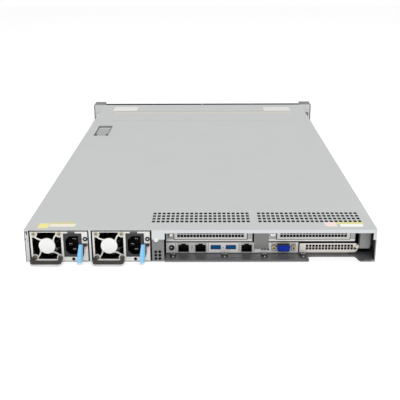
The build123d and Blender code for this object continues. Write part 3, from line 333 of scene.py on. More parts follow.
everyX, everyZ = (-300, 300), (0, 60)                    # ranges wider than the object
upperHalf, faceSkin = (30, 60), (-1, 0.4)                # above the middle, and the skin of the rear face
panelX, panelY, panelSkin = (-60, 230), (20, 26), (20, 24.3)     # the recessed port panel and its front skin


# A finish from its dictionary. Zones are painted over the first colour one after another.
def makeFinish(name, look):
    material = bpy.data.materials.new(name)
    material.use_nodes = True
    tree = material.node_tree
    shader = tree.nodes["Principled BSDF"].inputs
    place = addNode(tree, "ShaderNodeTexCoord").outputs["Object"]
    grain = addNode(tree, "ShaderNodeGroup", node_tree=grainGroup)
    tree.links.new(place, grain.inputs["Vector"])
    for key in ("colour", "deep"):
        grain.inputs[key.capitalize()].default_value = screen(*look[key])
    for key in ("stretch", "amount", "rough", "spread"):
        grain.inputs[key.capitalize()].default_value = look[key]
    colour, rough, metal = grain.outputs["Colour"], grain.outputs["Roughness"], look["metal"]
    for zone in look.get("zones", []):
        shape = discGroup if "radius" in zone else gridGroup if "step" in zone else boxGroup
        mask = addNode(tree, "ShaderNodeGroup", node_tree=shape, Vector=place)
        for key in ("centre", "radius", "low", "high", "first", "step", "half", "soft"):
            if key in zone:
                mask.inputs[key.capitalize()].default_value = zone[key]
        mask = mask.outputs[0]
        colour = addMix(tree, "RGBA", mask, colour, screen(*zone["colour"]))
        rough = addMix(tree, "FLOAT", mask, rough, zone.get("rough", look["rough"]))
        zoneMetal = zone.get("metal", look["metal"])
        if zoneMetal != look["metal"] or isinstance(metal, bpy.types.NodeSocket):
            metal = addMix(tree, "FLOAT", mask, metal, zoneMetal)
    bump = addNode(tree, "ShaderNodeBump", Strength=look["bump"], Distance=0.05 * mm,
                   Height=grain.outputs["Height"])
    feed(tree, shader["Base Color"], colour)
    feed(tree, shader["Roughness"], rough)
    feed(tree, shader["Metallic"], metal)
    feed(tree, shader["Normal"], bump.outputs[0])
    feed(tree, shader["Specular IOR Level"], look.get("gloss", 0.5))
    feed(tree, shader["Coat Weight"], look.get("coat", 0.0))
    feed(tree, shader["Coat Roughness"], 0.25)
    return material


def dress(finish, *names):
    for name in names:
        node = nodes[name]
        node.data.materials.clear()
        node.data.materials.append(finish)


# Makes a finish from a look with some values changed, and gives it to any nodes that are named.
def paint(name, look, *names, **changes):
    finish = makeFinish(name, dict(look, **changes))
    dress(finish, *names)
    return finish


# Blank labels and strips on the covers, with nothing on them: ranges in millimetres, y from the rear panel.
labels = {
    "front_cover": [
        {"x": (-191.0, -140.0), "y": (695.0, 735.5), "colour": (233, 231, 228)},
        {"x": (132.5, 188.5), "y": (691.0, 731.0), "colour": (226, 226, 224)},
        {"x": (-185.0, 189.0), "y": (661.0, 686.0), "colour": (202, 200, 193)},
        {"x": (-183.0, 187.0), "y": (687.0, 691.5), "colour": (172, 166, 154)}],
    "rear_cover": [
        {"x": (-202.3, -190.0), "y": (5.7, 21.9), "colour": (238, 228, 142)},
        {"x": (-189.5, -157.0), "y": (20.3, 26.7), "colour": (204, 200, 148)},
        {"x": (-188.8, -156.5), "y": (10.4, 20.2), "colour": (236, 231, 206)},
        {"x": (156.0, 170.6), "y": (9.6, 25.2), "colour": (240, 218, 213)},
        {"x": (171.5, 205.0), "y": (18.3, 25.1), "colour": (222, 215, 140)},
        {"x": (174.5, 203.0), "y": (8.8, 17.9), "colour": (243, 242, 236)}]}
labelLook = {"rough": 0.55, "depth": 0.3}


def labelZones(cover):
    z = (roofTop - labelLook["depth"], roofTop + 1)
    return [area(label["x"], label["y"], z, label["colour"], rough=labelLook["rough"])
            for label in labels[cover]]


# Painted covers. The rear drop flange is painted a little lighter than the roof, as lit, and the vents' sides
# are painted black as the shade inside them.
coverPaint = {"colour": (190, 192, 192), "deep": (182, 184, 185), "amount": 0.45, "rough": 0.42,
              "spread": 0.10, "metal": 0.0, "bump": 0.12, "stretch": (900, 900, 900), "coat": 0.1}
rearZones = [area(everyX, (-9, 0.6), (20, 43.2), (210, 213, 215)),                   # the drop flange
             area((-62, 206), (24, 71), (30, 43.35), (5, 5, 5))]                     # the sides of the vents
paint("coverPaint", coverPaint, "rear_cover", zones=rearZones + labelZones("rear_cover"))
frontEdge = area(everyX, (earPlane - 3.5, earPlane + 1), upperHalf, (58, 58, 60))
paint("frontPaint", coverPaint, "front_cover", zones=labelZones("front_cover") + [frontEdge])

# The tray: painted outside; its zinc inside is painted dark as the shade within the closed chassis, and the
# floor behind the recess is painted mid-grey as the shade there, lighter than the inside.
trayZones = [
    area((-half + 1.15, half - 1.15), (1.3, 900), (1, 60), (46, 46, 47), rough=0.4, metal=0.3),  # the inside
    area((left - 1, half - 1.2), (-5, 30), (-1, 4.5), (100, 100, 102),                           # the floor
         rough=0.35, metal=0.2, soft=1 * mm),
    # painted shade along the left wall's edge, and in the two nicks beside it
    area((-half - 1, -half + 0.8), (-1, 0.6), (0, 42), (70, 70, 72)),                # edge of the left wall
    area((-half + 1.2, -half + 2.2), faceSkin, (39.4, 41.4), (60, 60, 60)),          # two nicks beside it
    area((-half + 0.6, -half + 1.9), faceSkin, (29.8, 31.8), (70, 70, 70)),
    area((half - 4.6, half + 1), faceSkin, (0, 29), (140, 141, 142))]                # the right tab, in shade
paint("trayPaint", coverPaint, "chassis_tray", colour=(206, 207, 207), deep=(194, 196, 197), zones=trayZones)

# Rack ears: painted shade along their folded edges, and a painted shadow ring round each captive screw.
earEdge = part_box("rack_ears")[1].x / mm
captive = {"x": 232.55, "z": 21.75, "ring": 4.0}
earZones = [area((earEdge - 2.2, earEdge + 1), (600, 900), everyZ, (84, 84, 85)),
            area((-earEdge - 1, -earEdge + 2.2), (600, 900), everyZ, (84, 84, 85))]
earZones += [disc(side * captive["x"], captive["z"], captive["ring"], (58, 58, 60)) for side in (-1, 1)]
paint("earPaint", coverPaint, "rack_ears", colour=(210, 211, 210), deep=(199, 200, 200), zones=earZones)

# The port panel: painted shade along its top and bottom edges, black dashes, painted shade behind the jacks,
# and each jack's shield with a fine outline at its sides and painted highlights on its top corners.
zincSheet = {"colour": (176, 176, 174), "deep": (158, 158, 157), "amount": 0.6, "rough": 0.38, "spread": 0.2,
             "metal": 0.25, "bump": 0.2, "stretch": (160, 2200, 2200)}
dash = {"x": (77.6, 81.3, 85.0), "width": 2.7, "z": (5.7, 7.9)}
jack = {"centres": (22.1, 43.9, 102.8), "line": (9.3, 10.1), "height": (3.2, 15.4), "corner": (5.9, 8.9),
        "cornerHeight": (12.9, 15.2)}
# painted shade along the top edge, under the brackets, and along the bottom edge by the floor
panelZones = [area(panelX, panelY, (16.3, 30), (52, 52, 52)), area(panelX, panelY, (0, 2.3), (92, 92, 92))]
panelZones += [area((x, x + dash["width"]), panelY, dash["z"], (8, 8, 8), metal=0.0) for x in dash["x"]]
for centre in jack["centres"]:
    middle = left + centre
    for near, far, height, colour in ((*jack["line"], jack["height"], (96, 94, 92)),
                                      (*jack["corner"], jack["cornerHeight"], (252, 252, 250))):
        panelZones += [area((middle - far, middle - near), panelSkin, height, colour),
                       area((middle + near, middle + far), panelSkin, height, colour)]
# painted shade seen behind the jacks
panelZones.append(area((-60, 130), (24.2, 26), (0, 30), (30, 30, 30)))           # what shows behind the jacks
paint("panelZinc", zincSheet, "io_panel", colour=(250, 248, 247), deep=(242, 240, 239), metal=0.15,
      zones=panelZones)

# Riser brackets: a painted shade line outlines each raised blank on three sides; each shelf is painted lighter
# as lit and its lower edge dark as shade; the holes, their sides and what lies behind are painted black as
# shade.
riser = {"starts": (0.0, 130.5), "width": 109.8, "bottom": 17.4, "shelf": 3.2, "blankStart": 10.6,
         "blankWidth": 92.2, "line": 1.0, "lift": 1.4, "edge": 0.6, "holes": (21, 5), "step": (4.05, 4.2),
         "firstRow": 25.8, "hole": 1.72, "under": (0.6, 0.7), "dark": (34, 33, 32)}
# painted shade behind the brackets' fronts
riserZones = [area((left - 1, left + 260), (24.4, 200), everyZ, (50, 50, 51))]   # behind the brackets' fronts
for start in riser["starts"]:
    bracket = (left + start, left + start + riser["width"])
    blankLeft = left + start + riser["blankStart"]
    blankRight, blankLow = blankLeft + riser["blankWidth"], riser["bottom"] + riser["shelf"]
    plane, dark, line = 24 - riser["lift"], riser["dark"], riser["line"]
    below, above = riser["under"]
    firstHole = (blankLeft + blankRight - (riser["holes"][0] - 1) * riser["step"][0]) / 2
    riserZones += [
        # the shelf painted lighter as lit, and its lower edge painted dark as shade
        area(bracket, (23, 24.3), (riser["bottom"] - 1, blankLow), (234, 234, 232)),         # shelf
        area(bracket, panelSkin, (10, riser["bottom"] + riser["edge"]), (36, 36, 36)),       # its lower edge
        area((blankLeft + 0.05, blankRight - 0.05), (plane - 1, plane + 0.1), (blankLow, 60), (212, 212, 210)),
        # painted shade round each raised blank, and black as shade behind it and in its holes
        area((blankLeft - line, blankLeft + 0.03), (22.7, 25), (blankLow - below, 60), dark, metal=0.0),
        area((blankRight - 0.03, blankRight + line), (22.7, 25), (blankLow - below, 60), dark, metal=0.0),
        area((blankLeft - line, blankRight + line), (plane - 1, 25), (blankLow - below, blankLow + above),
             dark, metal=0.0),
        area((blankLeft + 0.3, blankRight - 0.3), (plane + 0.15, 30), (blankLow + 0.3, 41.5), (5, 5, 5),
             metal=0.0),
        holes((firstHole, riser["firstRow"]), riser["holes"], riser["step"], riser["hole"])]
paint("riserZinc", zincSheet, "riser_brackets", colour=(184, 184, 182), deep=(170, 170, 169), metal=0.55,
      zones=riserZones, gloss=0.3)

# The supply cage is painted dark inside as shade, and the six holes of the panel beside it are painted black
# as shade, a little wider than the holes; the panel's return is painted as shade too.
paint("cageZinc", zincSheet, "supply_cage", colour=(222, 225, 226), deep=(208, 211, 212),
      zones=[area(everyX, (1.3, 300), everyZ, (60, 60, 61))])
paint("bracketZinc", zincSheet, "drive_cage")
ventHoles = {"x": (4.6, 9.6), "z": (4.6, 9.2, 13.8), "radius": 1.95}
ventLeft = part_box("vent_panel")[0].x / mm
ventZones = [area((-70, -40), (0.15, 20), everyZ, (90, 90, 92))]                     # the panel's return
ventZones += [disc(ventLeft + x, z, ventHoles["radius"], (4, 4, 4), rough=0.8)
              for x in ventHoles["x"] for z in ventHoles["z"]]
paint("ventZinc", zincSheet, "vent_panel", colour=(128, 128, 130), deep=(118, 118, 120), zones=ventZones)
# painted light on the filler plates towards the right
fillerZones = [area((150, 260), (-5, 30), (36, 60), (186, 186, 185), soft=8 * mm),   # light at the right
               area((left + 130.45, left + 131), (20, 24), everyZ, (60, 60, 60))]    # seam by the riser
paint("fillerZinc", zincSheet, "filler_plates", colour=(150, 150, 149), deep=(140, 140, 139),
      zones=fillerZones)

# The mezzanine blank: cream paint, black hole rows painted as shade, and a painted gap shadow on its top edge.
mezzLow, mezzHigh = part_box("mezzanine_blank")
mezz = {"firstHole": 9.5, "step": (4.06, 3.6), "rows": ((8.5, 16), (12.2, 15)), "hole": 1.6}
mezzLeft, mezzRight, mezzTop = mezzLow.x / mm, mezzHigh.x / mm, mezzHigh.z / mm
mezzX = (mezzLeft - 1, mezzRight + 1)
# painted shade: black behind the holes, and a gap shadow along the top edge
mezzZones = [area((mezzLeft + 8, mezzRight - 1.5), (22.7, 30), (6, 14.5), (5, 5, 5)),    # the holes' sides
             area(mezzX, (20, 60), (0, 3.1), (112, 110, 109)),                           # bottom edge
             area(mezzX, panelY, (mezzTop - 0.4, mezzTop + 1), (36, 35, 34))]            # top edge
mezzZones += [holes((mezzLeft + mezz["firstHole"], z), (count, 1), mezz["step"], mezz["hole"])
              for z, count in mezz["rows"]]
blankPaint = {"colour": (250, 243, 236), "deep": (240, 232, 225), "amount": 0.4, "rough": 0.45, "spread": 0.1,
              "metal": 0.25, "bump": 0.1, "stretch": (1200, 1200, 1200)}
paint("blankPaint", blankPaint, "mezzanine_blank", zones=mezzZones)

# Latch pan and lever: both have painted shade at the near corners, and the pan a painted shadow along its
# right wall too. The lever is lighter at its far end.
panLow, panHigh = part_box("latch_tray")
leverLow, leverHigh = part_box("cover_lever")
latchGrey = {"colour": (158, 160, 160), "deep": (148, 150, 151), "amount": 0.6, "rough": 0.4, "spread": 0.15,
             "metal": 0.1, "bump": 0.2, "stretch": (1500, 300, 1500)}
pocket = {"width": 6.6, "length": 18.0, "before": 9.0, "dark": (20, 20, 21), "band": 8.0,
          "light": (176, 179, 180)}
pan = {"height": (30, 43.4), "width": 3.0, "length": 7.0, "dark": (46, 47, 48), "wall": 1.2,
       "shade": (84, 85, 86)}
panLeft, panRight = panLow.x / mm, panHigh.x / mm
panNear, panFar, leverFar = [(y - rear) / mm for y in (panLow.y, panHigh.y, leverHigh.y)]
panCorner = (panNear - 1, panNear + pan["length"])
panZones = [area((panLeft - 1, panLeft + pan["width"]), panCorner, pan["height"], pan["dark"]),
            area((panRight - pan["width"], panRight + 1), panCorner, pan["height"], pan["dark"]),
            area((panRight - pan["wall"], panRight + 1), (panNear, panFar), pan["height"], pan["shade"])]
leverCorner = (panNear - pocket["before"], panNear + pocket["length"])
leverZones = [area((leverLow.x / mm - 1, leverHigh.x / mm + 1), (leverFar - pocket["band"], leverFar + 1),
                   upperHalf, pocket["light"]),
              area((panLeft - 1, panLeft + pocket["width"]), leverCorner, upperHalf, pocket["dark"]),
              area((panRight - pocket["width"], panRight + 1), leverCorner, upperHalf, pocket["dark"])]
paint("latchGrey", latchGrey, "cover_lever", zones=leverZones)
paint("latchPan", latchGrey, "latch_tray", colour=(166, 168, 169), deep=(152, 154, 155), zones=panZones)

# Power supplies: plated face with a white disc on the fan's hub, dark inlet, handle and blue release. Each
# case is painted near-black inside, and dark along its face's top and sides, as the shade in the gaps round
# it.
supplyPlate = {"colour": (228, 227, 223), "deep": (208, 207, 202), "amount": 0.5, "rough": 0.33,
               "spread": 0.2, "metal": 0.2, "bump": 0.15, "stretch": (700, 700, 700)}
inletLook = {"colour": (64, 63, 66), "deep": (54, 53, 56), "amount": 0.5, "rough": 0.5, "spread": 0.1,
             "metal": 0.0, "bump": 0.25, "stretch": (2500, 2500, 2500), "gloss": 0.15}
fanBlack = {"colour": (18, 18, 19), "deep": (8, 8, 9), "amount": 0.6, "rough": 0.35, "spread": 0.15,
            "metal": 0.0, "bump": 0.2, "stretch": (2000, 2000, 2000), "gloss": 0.12}
handleLook = {"colour": (62, 59, 56), "deep": (46, 44, 42), "amount": 0.6, "rough": 0.4, "spread": 0.15,
              "metal": 0.0, "bump": 0.25, "stretch": (2500, 2500, 2500), "gloss": 0.25}
releaseLook = {"colour": (138, 200, 240), "deep": (122, 188, 230), "amount": 0.5, "rough": 0.4, "spread": 0.1,
               "metal": 0.0, "bump": 0.1, "stretch": (1800, 1800, 1800), "coat": 0.1, "gloss": 0.3}
face = {"wall": 0.95, "inside": (1.1, 183.9), "hub": 9.9, "white": (246, 246, 244), "tab": (5.4, 14.6),
        "topShade": 1.0, "leftShade": 0.8, "rightShade": 0.6}
boss = {"spread": 15.8, "radius": 3.6, "top": (196, 191, 172), "low": 3.1, "bottom": (92, 85, 78)}
faceHole = {"x": 11.5, "z": 4.2, "radius": 2.1}
inlet = {"width": 22.8, "margin": 2.4}
release = {"tab": 6.5, "shade": 4.4, "end": 20}
fanFinish = makeFinish("fanBlack", fanBlack)
supplies = []
for n in (1, 2):
    caseLow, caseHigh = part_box(f"supply_case_{n}")
    fanLow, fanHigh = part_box(f"supply_fan_{n}")
    inletLow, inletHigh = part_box(f"supply_inlet_{n}")
    hubX, hubZ = (fanLow.x + fanHigh.x) / 2 / mm, (fanLow.z + fanHigh.z) / 2 / mm
    inletLeft, inletRight = inletLow.x / mm, inletLow.x / mm + inlet["width"]
    supplies.append({"body": f"supply_{n}", "n": n, "hub": (hubX * mm, rear, hubZ * mm), "right": caseHigh.x,
                     "inletX": (inletLeft + inletRight) / 2 * mm, "inletZ": (inletLow.z + inletHigh.z) / 2})
    spread, wall = boss["spread"], face["wall"]
    caseLeft, caseRight = caseLow.x / mm, caseHigh.x / mm
    caseTop, caseBottom = caseHigh.z / mm, fanLow.z / mm - 1
    # painted shade inside the case
    zones = [area((caseLeft + wall, caseRight - wall), face["inside"], (caseBottom + wall, caseTop - wall),
                  (12, 12, 12)),
             disc(hubX, hubZ, face["hub"], face["white"], rough=0.5, metal=0.0)]
    for side in (-1, 1):
        zones += [disc(hubX + side * spread, hubZ + spread, boss["radius"], boss["top"]),
                  disc(hubX + side * spread, hubZ - spread, boss["low"], boss["bottom"])]
    zones += [
        disc(inletLeft + faceHole["x"], faceHole["z"], faceHole["radius"], (4, 4, 4), metal=0.0),
        area((inletLeft + face["tab"][0], inletLeft + face["tab"][1]), (-1, 0.5),
             (inletHigh.z / mm, caseTop - 1.2), (72, 71, 73), metal=0.0),            # tab above the inlet
        # painted shade in the gaps along the face's top and sides
        area((caseLeft - 1, caseRight + 1), faceSkin, (caseTop - face["topShade"], caseTop + 1), (44, 44, 44)),
        area((caseLeft - 1, caseLeft + face["leftShade"]), faceSkin, everyZ, (30, 30, 30)),
        area((caseRight - face["rightShade"], caseRight + 1), faceSkin, everyZ, (54, 54, 54))]
    paint(f"supplyPlate{n}", supplyPlate, f"supply_case_{n}", zones=zones)
    # painted shade in the inlet's cavity
    cavity = area((inletLeft + 1.5, inletRight - 1), (-0.3, 30),
                  (inletLow.z / mm + inlet["margin"], inletHigh.z / mm - inlet["margin"]), (6, 6, 7))
    block = area((inletLeft - 1, inletRight + 6), (-2, -0.55), everyZ, inletLook["colour"])
    paint(f"inletPlastic{n}", inletLook, f"supply_inlet_{n}", zones=[cavity, block])
    dress(fanFinish, f"supply_fan_{n}", f"supply_rotor_{n}")
    paint(f"handleGrey{n}", handleLook, f"supply_handle_{n}")
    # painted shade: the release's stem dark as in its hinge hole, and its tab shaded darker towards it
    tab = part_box(f"supply_release_{n}")[0].x / mm
    stemShade = area((tab + release["tab"], tab + release["end"]), (-20, 90), everyZ, (30, 30, 32))
    shade = area((tab + release["shade"], tab + release["tab"]), (-20, 0), everyZ, (112, 172, 208),
                 soft=1.4 * mm)
    paint(f"releaseBlue{n}", releaseLook, f"supply_release_{n}", zones=[shade, stemShade])

# Ports: tinned shells with insides painted dark as shade, blue mouldings. Starts and centres run from the
# panel's left edge.
ports = {"monitor": 149.8, "monitorHeight": 10.6, "posts": 12.5, "lights": (33.0, 72.9), "lightHeight": 9.6,
         "light": 1.6, "locate": 7.2, "locateHeight": 9.3}
usb = {"centres": (63.3, 82.6), "half": 6.8, "z": (6.6, 12.9), "rim": (16, 60, 104)}
postRings = ((3.5, (52, 50, 46)), (2.7, (222, 210, 178)), (1.4, (30, 27, 22)))
monitor = left + ports["monitor"]
shellZones = [area((left + x - usb["half"], left + x + usb["half"]), panelSkin, usb["z"], usb["rim"],
                   metal=0.0) for x in usb["centres"]]
shellZones += [area((left, left + 200), (24.4, 60), (0, 30), (8, 8, 8)),                      # insides
               # the monitor shell painted dark as shade and dark reflection, and its right side painted light
               # as lit
               area((monitor - 9, monitor + 7.2), (10, 23.1), (6, 15.2), (34, 34, 38)),       # monitor shell
               area((monitor + 7.2, monitor + 9), (10, 23.1), (7.6, 15.2), (196, 195, 190))]  # its lit side
shellZones += [disc(monitor + side * ports["posts"], ports["monitorHeight"], radius, colour)
               for side in (-1, 1) for radius, colour in postRings]
portShell = {"colour": (206, 205, 201), "deep": (180, 179, 175), "amount": 0.5, "rough": 0.35, "spread": 0.15,
             "metal": 0.25, "bump": 0.1, "stretch": (900, 900, 900), "gloss": 0.3}
paint("portShell", portShell, "port_shells", zones=shellZones)
insertZones = [area((monitor - 10, monitor + 10), (0, 60), (0, 30), (12, 54, 176)),
               area((left - 5, left + 14), (0, 60), (0, 30), (40, 41, 44))]
insertZones += [disc(left + x, ports["lightHeight"], ports["light"], (206, 207, 202)) for x in ports["lights"]]
portMoulding = {"colour": (14, 92, 158), "deep": (10, 78, 138), "amount": 0.4, "rough": 0.5, "spread": 0.1,
                "metal": 0.0, "bump": 0.1, "stretch": (1500, 1500, 1500), "gloss": 0.15}
paint("portMoulding", portMoulding, "port_inserts", zones=insertZones)
# a painted highlight at the upper left of the locate button
glow = disc(left + ports["locate"] - 0.7, ports["locateHeight"] + 0.8, 0.8, (226, 228, 230), soft=0.4 * mm)
paint("buttonGrey", inletLook, "locate_button", colour=(58, 60, 64), deep=(28, 29, 32), rough=0.25, gloss=0.5,
      zones=[glow])

# Front: moulded caps, black carriers with the drives' steel showing between their rails, grey levers.
capLook = {"colour": (122, 121, 119), "deep": (108, 107, 105), "amount": 0.5, "rough": 0.5, "spread": 0.1,
           "metal": 0.0, "bump": 0.35, "stretch": (2600, 2600, 2600), "gloss": 0.35}
paint("capPlastic", capLook, "ear_caps")
paint("powerButton", capLook, "power_button", colour=(150, 152, 154), deep=(136, 138, 140))
carrier = {"chamfer": (41.6, 60), "drive": (24.1, 36)}
carrierZones = [area(everyX, (400, 900), carrier["chamfer"], (12, 12, 13), rough=0.8),
                area(everyX, (400, earPlane + 0.3), carrier["drive"], (176, 177, 178), rough=0.35, metal=0.6)]
carrierFinish = paint("carrierBlack", capLook, *[f"drive_{n}" for n in range(1, 5)], colour=(36, 36, 38),
                      deep=(24, 24, 26), rough=0.6, gloss=0.05, zones=carrierZones)
paint("carrierLever", capLook, *[f"drive_lever_{n}" for n in range(1, 5)], colour=(104, 107, 110),
      deep=(90, 93, 96))
paint("carrierButton", releaseLook, *[f"drive_button_{n}" for n in range(1, 5)], colour=(96, 150, 190),
      deep=(80, 134, 176))

# Inside and small steel. The left captive screw's tip and the cover screw are painted bright as lit, and the
# right captive screw is painted dark as shaded; the boards are painted nearly black as the shade inside.
steelLook = {"colour": (168, 168, 166), "deep": (138, 138, 136), "amount": 0.5, "rough": 0.3, "spread": 0.15,
             "metal": 0.8, "bump": 0.1, "stretch": (1200, 1200, 1200)}
boardLook = {"colour": (8, 26, 18), "deep": (6, 16, 12), "amount": 0.6, "rough": 0.5, "spread": 0.2,
             "metal": 0.0, "bump": 0.3, "stretch": (600, 600, 600), "gloss": 0.1}
steelFinish = paint("plainSteel", steelLook, "studs")
# painted light on the left captive screw and the cover screw
paint("litSteel", steelLook, "captive_screw_left", "cover_screw", colour=(244, 244, 242),
      deep=(230, 230, 228), metal=0.1)
paint("shadedSteel", steelLook, "captive_screw_right", colour=(112, 112, 113), deep=(92, 92, 94), metal=0.3)
# green boards painted nearly black, as the shade inside the chassis seen through its holes
paint("boardShadedGreen", boardLook, "circuit_boards", "memory_modules")
paint("socketBlack", fanBlack, "board_sockets")
paint("finAluminium", steelLook, "heat_sinks", colour=(180, 181, 182), deep=(160, 161, 162))
paint("ductBlack", capLook, "air_duct", colour=(36, 36, 38), deep=(28, 28, 30))
dress(fanFinish, "fan_frames", *[f"fan_rotor_{n}" for n in range(1, 8)])
print("materials made")

# Fixed screws: radius and height of each kind, and where they stand.
screwSizes = {"floor": (4.3, 4.9), "riser": (2.9, 1.9), "face": (1.9, 0.7), "leg": (3.0, 1.1)}
screwPlaces = {
    "floorStarts": (9.05, 74.4, 125.0, 173.9), "floorFromRear": 16.0, "floorTop": 1.2,
    "riserStarts": (5.4, 135.9), "riserHeight": 26.3, "legShares": (0.25, 0.75), "legOut": 1.6}
outward = (0, -1, 0)      # the rear faces' normal


def screwAt(kind, centre, normal):
    radius, height = screwSizes[kind]
    depth = min(head["sink"] * height, head["deepest"])
    return crossHead(centre, normal, radius * mm, height * mm, head["slot"] * radius * mm, depth * mm)


# Floor screws: dark rims and lighter grey tops painted as shade and light, and a painted glint on each near
# side.
floorScrews = [screwAt("floor", (portLeft + x * mm, rear + screwPlaces["floorFromRear"] * mm,
                                 screwPlaces["floorTop"] * mm), (0, 0, 1))
               for x in screwPlaces["floorStarts"]]
glint = {"x": (-0.9, 1.2), "y": 3.2, "z": (1.6, 2.9), "colour": (206, 206, 206), "soft": 0.4}
grey = {"reach": 2.9, "z": (3.5, 9), "colour": (140, 139, 138)}
middle = screwPlaces["floorFromRear"]
floorZones = []
for x in screwPlaces["floorStarts"]:
    floorZones += [area((left + x - grey["reach"], left + x + grey["reach"]),
                        (middle - grey["reach"], middle + grey["reach"]), grey["z"], grey["colour"]),
                   area((left + x + glint["x"][0], left + x + glint["x"][1]), (0, middle - glint["y"]),
                        glint["z"], glint["colour"], soft=glint["soft"] * mm)]
darkSteel = paint("darkSteel", steelLook, colour=(58, 57, 57), deep=(46, 45, 45), metal=0.1, gloss=0.3,
                  zones=floorZones)
makePiece("floor_screws", floorScrews, darkSteel, "chassis")
brightScrew = paint("brightScrew", steelLook, colour=(252, 252, 250), deep=(242, 242, 240), rough=0.35,
                    metal=0.9)
brightScrews = [screwAt("riser", (portLeft + x * mm, portPlane, screwPlaces["riserHeight"] * mm), outward)
                for x in screwPlaces["riserStarts"]]
makePiece("bracket_screws", brightScrews, brightScrew, "chassis")

# A cream screw nose at the mezzanine blank's upper right corner, and four screws at the body's sides.
nose = {"in": 1.2, "down": 4.6,
        "profile": ((0, 0), (3.0, 0), (3.0, 0.9), (2.8, 1.7), (2.2, 2.5), (1.3, 3.0), (0, 3.2))}
noseAt = (mezzHigh.x - nose["in"] * mm, mezzLow.y, mezzHigh.z - nose["down"] * mm)
makePiece("mezzanine_screw", [turned(np.array(nose["profile"]) * mm, noseAt, outward)],
          makeFinish("creamScrew", blankPaint), "chassis")
earLow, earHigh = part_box("rack_ears")
legScrews = [screwAt("leg", (side * (halfWidth + screwPlaces["legOut"] * mm),
                             earLow.y + share * (earHigh.y - earLow.y), roof / 2), (side, 0, 0))
             for side in (-1, 1) for share in screwPlaces["legShares"]]
makePiece("side_screws", legScrews, steelFinish, "chassis")

# Dark caps between the drive carriers.
gapCaps = {"margin": 0.4, "low": 36.0, "high": 42.9, "length": 13.0, "corner": 0.3}
caps = []
for n in range(1, 4):
    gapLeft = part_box(f"drive_{n}")[1].x + gapCaps["margin"] * mm
    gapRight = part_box(f"drive_{n + 1}")[0].x - gapCaps["margin"] * mm
    place = ((gapLeft + gapRight) / 2, front, (gapCaps["low"] + gapCaps["high"]) / 2 * mm)
    caps.append(roundedPlate(gapRight - gapLeft, (gapCaps["high"] - gapCaps["low"]) * mm,
                             gapCaps["corner"] * mm, gapCaps["length"] * mm, place, (0, 1, 0), bevel=0.02))
makePiece("bay_caps", caps, carrierFinish, "chassis")

# The four screws of each supply's face, in the bosses round its fan.
faceSteel = paint("faceSteel", steelLook, colour=(150, 142, 124), deep=(118, 108, 90), metal=0.2)
for supply in supplies:
    (x, y, z), spread = supply["hub"], boss["spread"] * mm
    corners = [screwAt("face", (x + sx * spread, y, z + sz * spread), outward)
               for sx in (-1, 1) for sz in (-1, 1)]
    makePiece(f"face_screws_{supply['n']}", corners, faceSteel, supply["body"])

# Mains contacts, as sleeves over the moulded ones with bright tips and painted shadow further in, and the lamp
# beside the inlet.
contact = {"width": 4.2, "height": 2.2, "length": 14.8, "corner": 0.5, "shift": 2.4, "spread": 7.0,
           "cavityShift": 0.8, "front": 1.5, "tip": 2.4}
lampLook = {"fromRight": 3.5, "height": 31.0, "sink": 0.02,
            "ring": ((0, 0), (2.9, 0), (2.9, 0.5), (2.6, 0.8), (1.5, 0.8), (1.2, 0.5), (0, 0.5)),
            "dome": ((0, 0.3), (1.15, 0.3), (1.15, 0.6), (0.9, 0.9), (0.4, 1.05), (0, 1.1))}
shadow = area(everyX, (contact["tip"], 60), everyZ, (36, 35, 34), metal=0.0)
contactFinish = paint("contactNickel", steelLook, colour=(250, 249, 246), deep=(234, 233, 228), metal=0.05,
                      zones=[shadow])
lampFinish = paint("lampGrey", inletLook, colour=(206, 214, 220), deep=(182, 190, 198), rough=0.2, gloss=0.4)
lampRing = paint("lampRing", inletLook, colour=(30, 31, 34), deep=(22, 23, 25))
for supply in supplies:
    n, body, shift, rise = supply["n"], supply["body"], contact["shift"], contact["spread"]
    blades = []
    for dx, dz in ((-shift, 0), (shift, -rise), (shift, rise)):
        start = (supply["inletX"] + (dx - contact["cavityShift"]) * mm,
                 rear + (contact["front"] + contact["length"]) * mm, supply["inletZ"] + dz * mm)
        blades.append(roundedPlate(contact["width"] * mm, contact["height"] * mm, contact["corner"] * mm,
                                   contact["length"] * mm, start, outward, bevel=0.04))
    makePiece(f"inlet_contacts_{n}", blades, contactFinish, body)
    seat = (supply["right"] - lampLook["fromRight"] * mm, rear - lampLook["sink"] * mm,
            lampLook["height"] * mm)
    ring, dome = [turned(np.array(lampLook[key]) * mm, seat, outward) for key in ("ring", "dome")]
    makePiece(f"lamp_ring_{n}", [ring], lampRing, body)
    makePiece(f"lamp_lens_{n}", [dome], lampFinish, body)
print("screws, contacts and lamps made")

blade = {"around": 20, "along": 7, "thin": 0.045, "full": 1.1, "camber": 0.16, "root": 0.75, "growth": 0.45,
         "sweep": 0.35}
rotor = {"blades": 7, "chord": 9.0, "pitch": (52, 34), "root": 0.92, "hub": 9.8, "tip": 17.0, "half": 6.5,
         "steps": 36,
         "cup": ((0, -6.5), (9.0, -6.5), (9.6, -6.2), (9.8, -5.6), (9.8, 6.5), (1.5, 6.5), (1.5, 8.9),
                 (0, 8.9))}


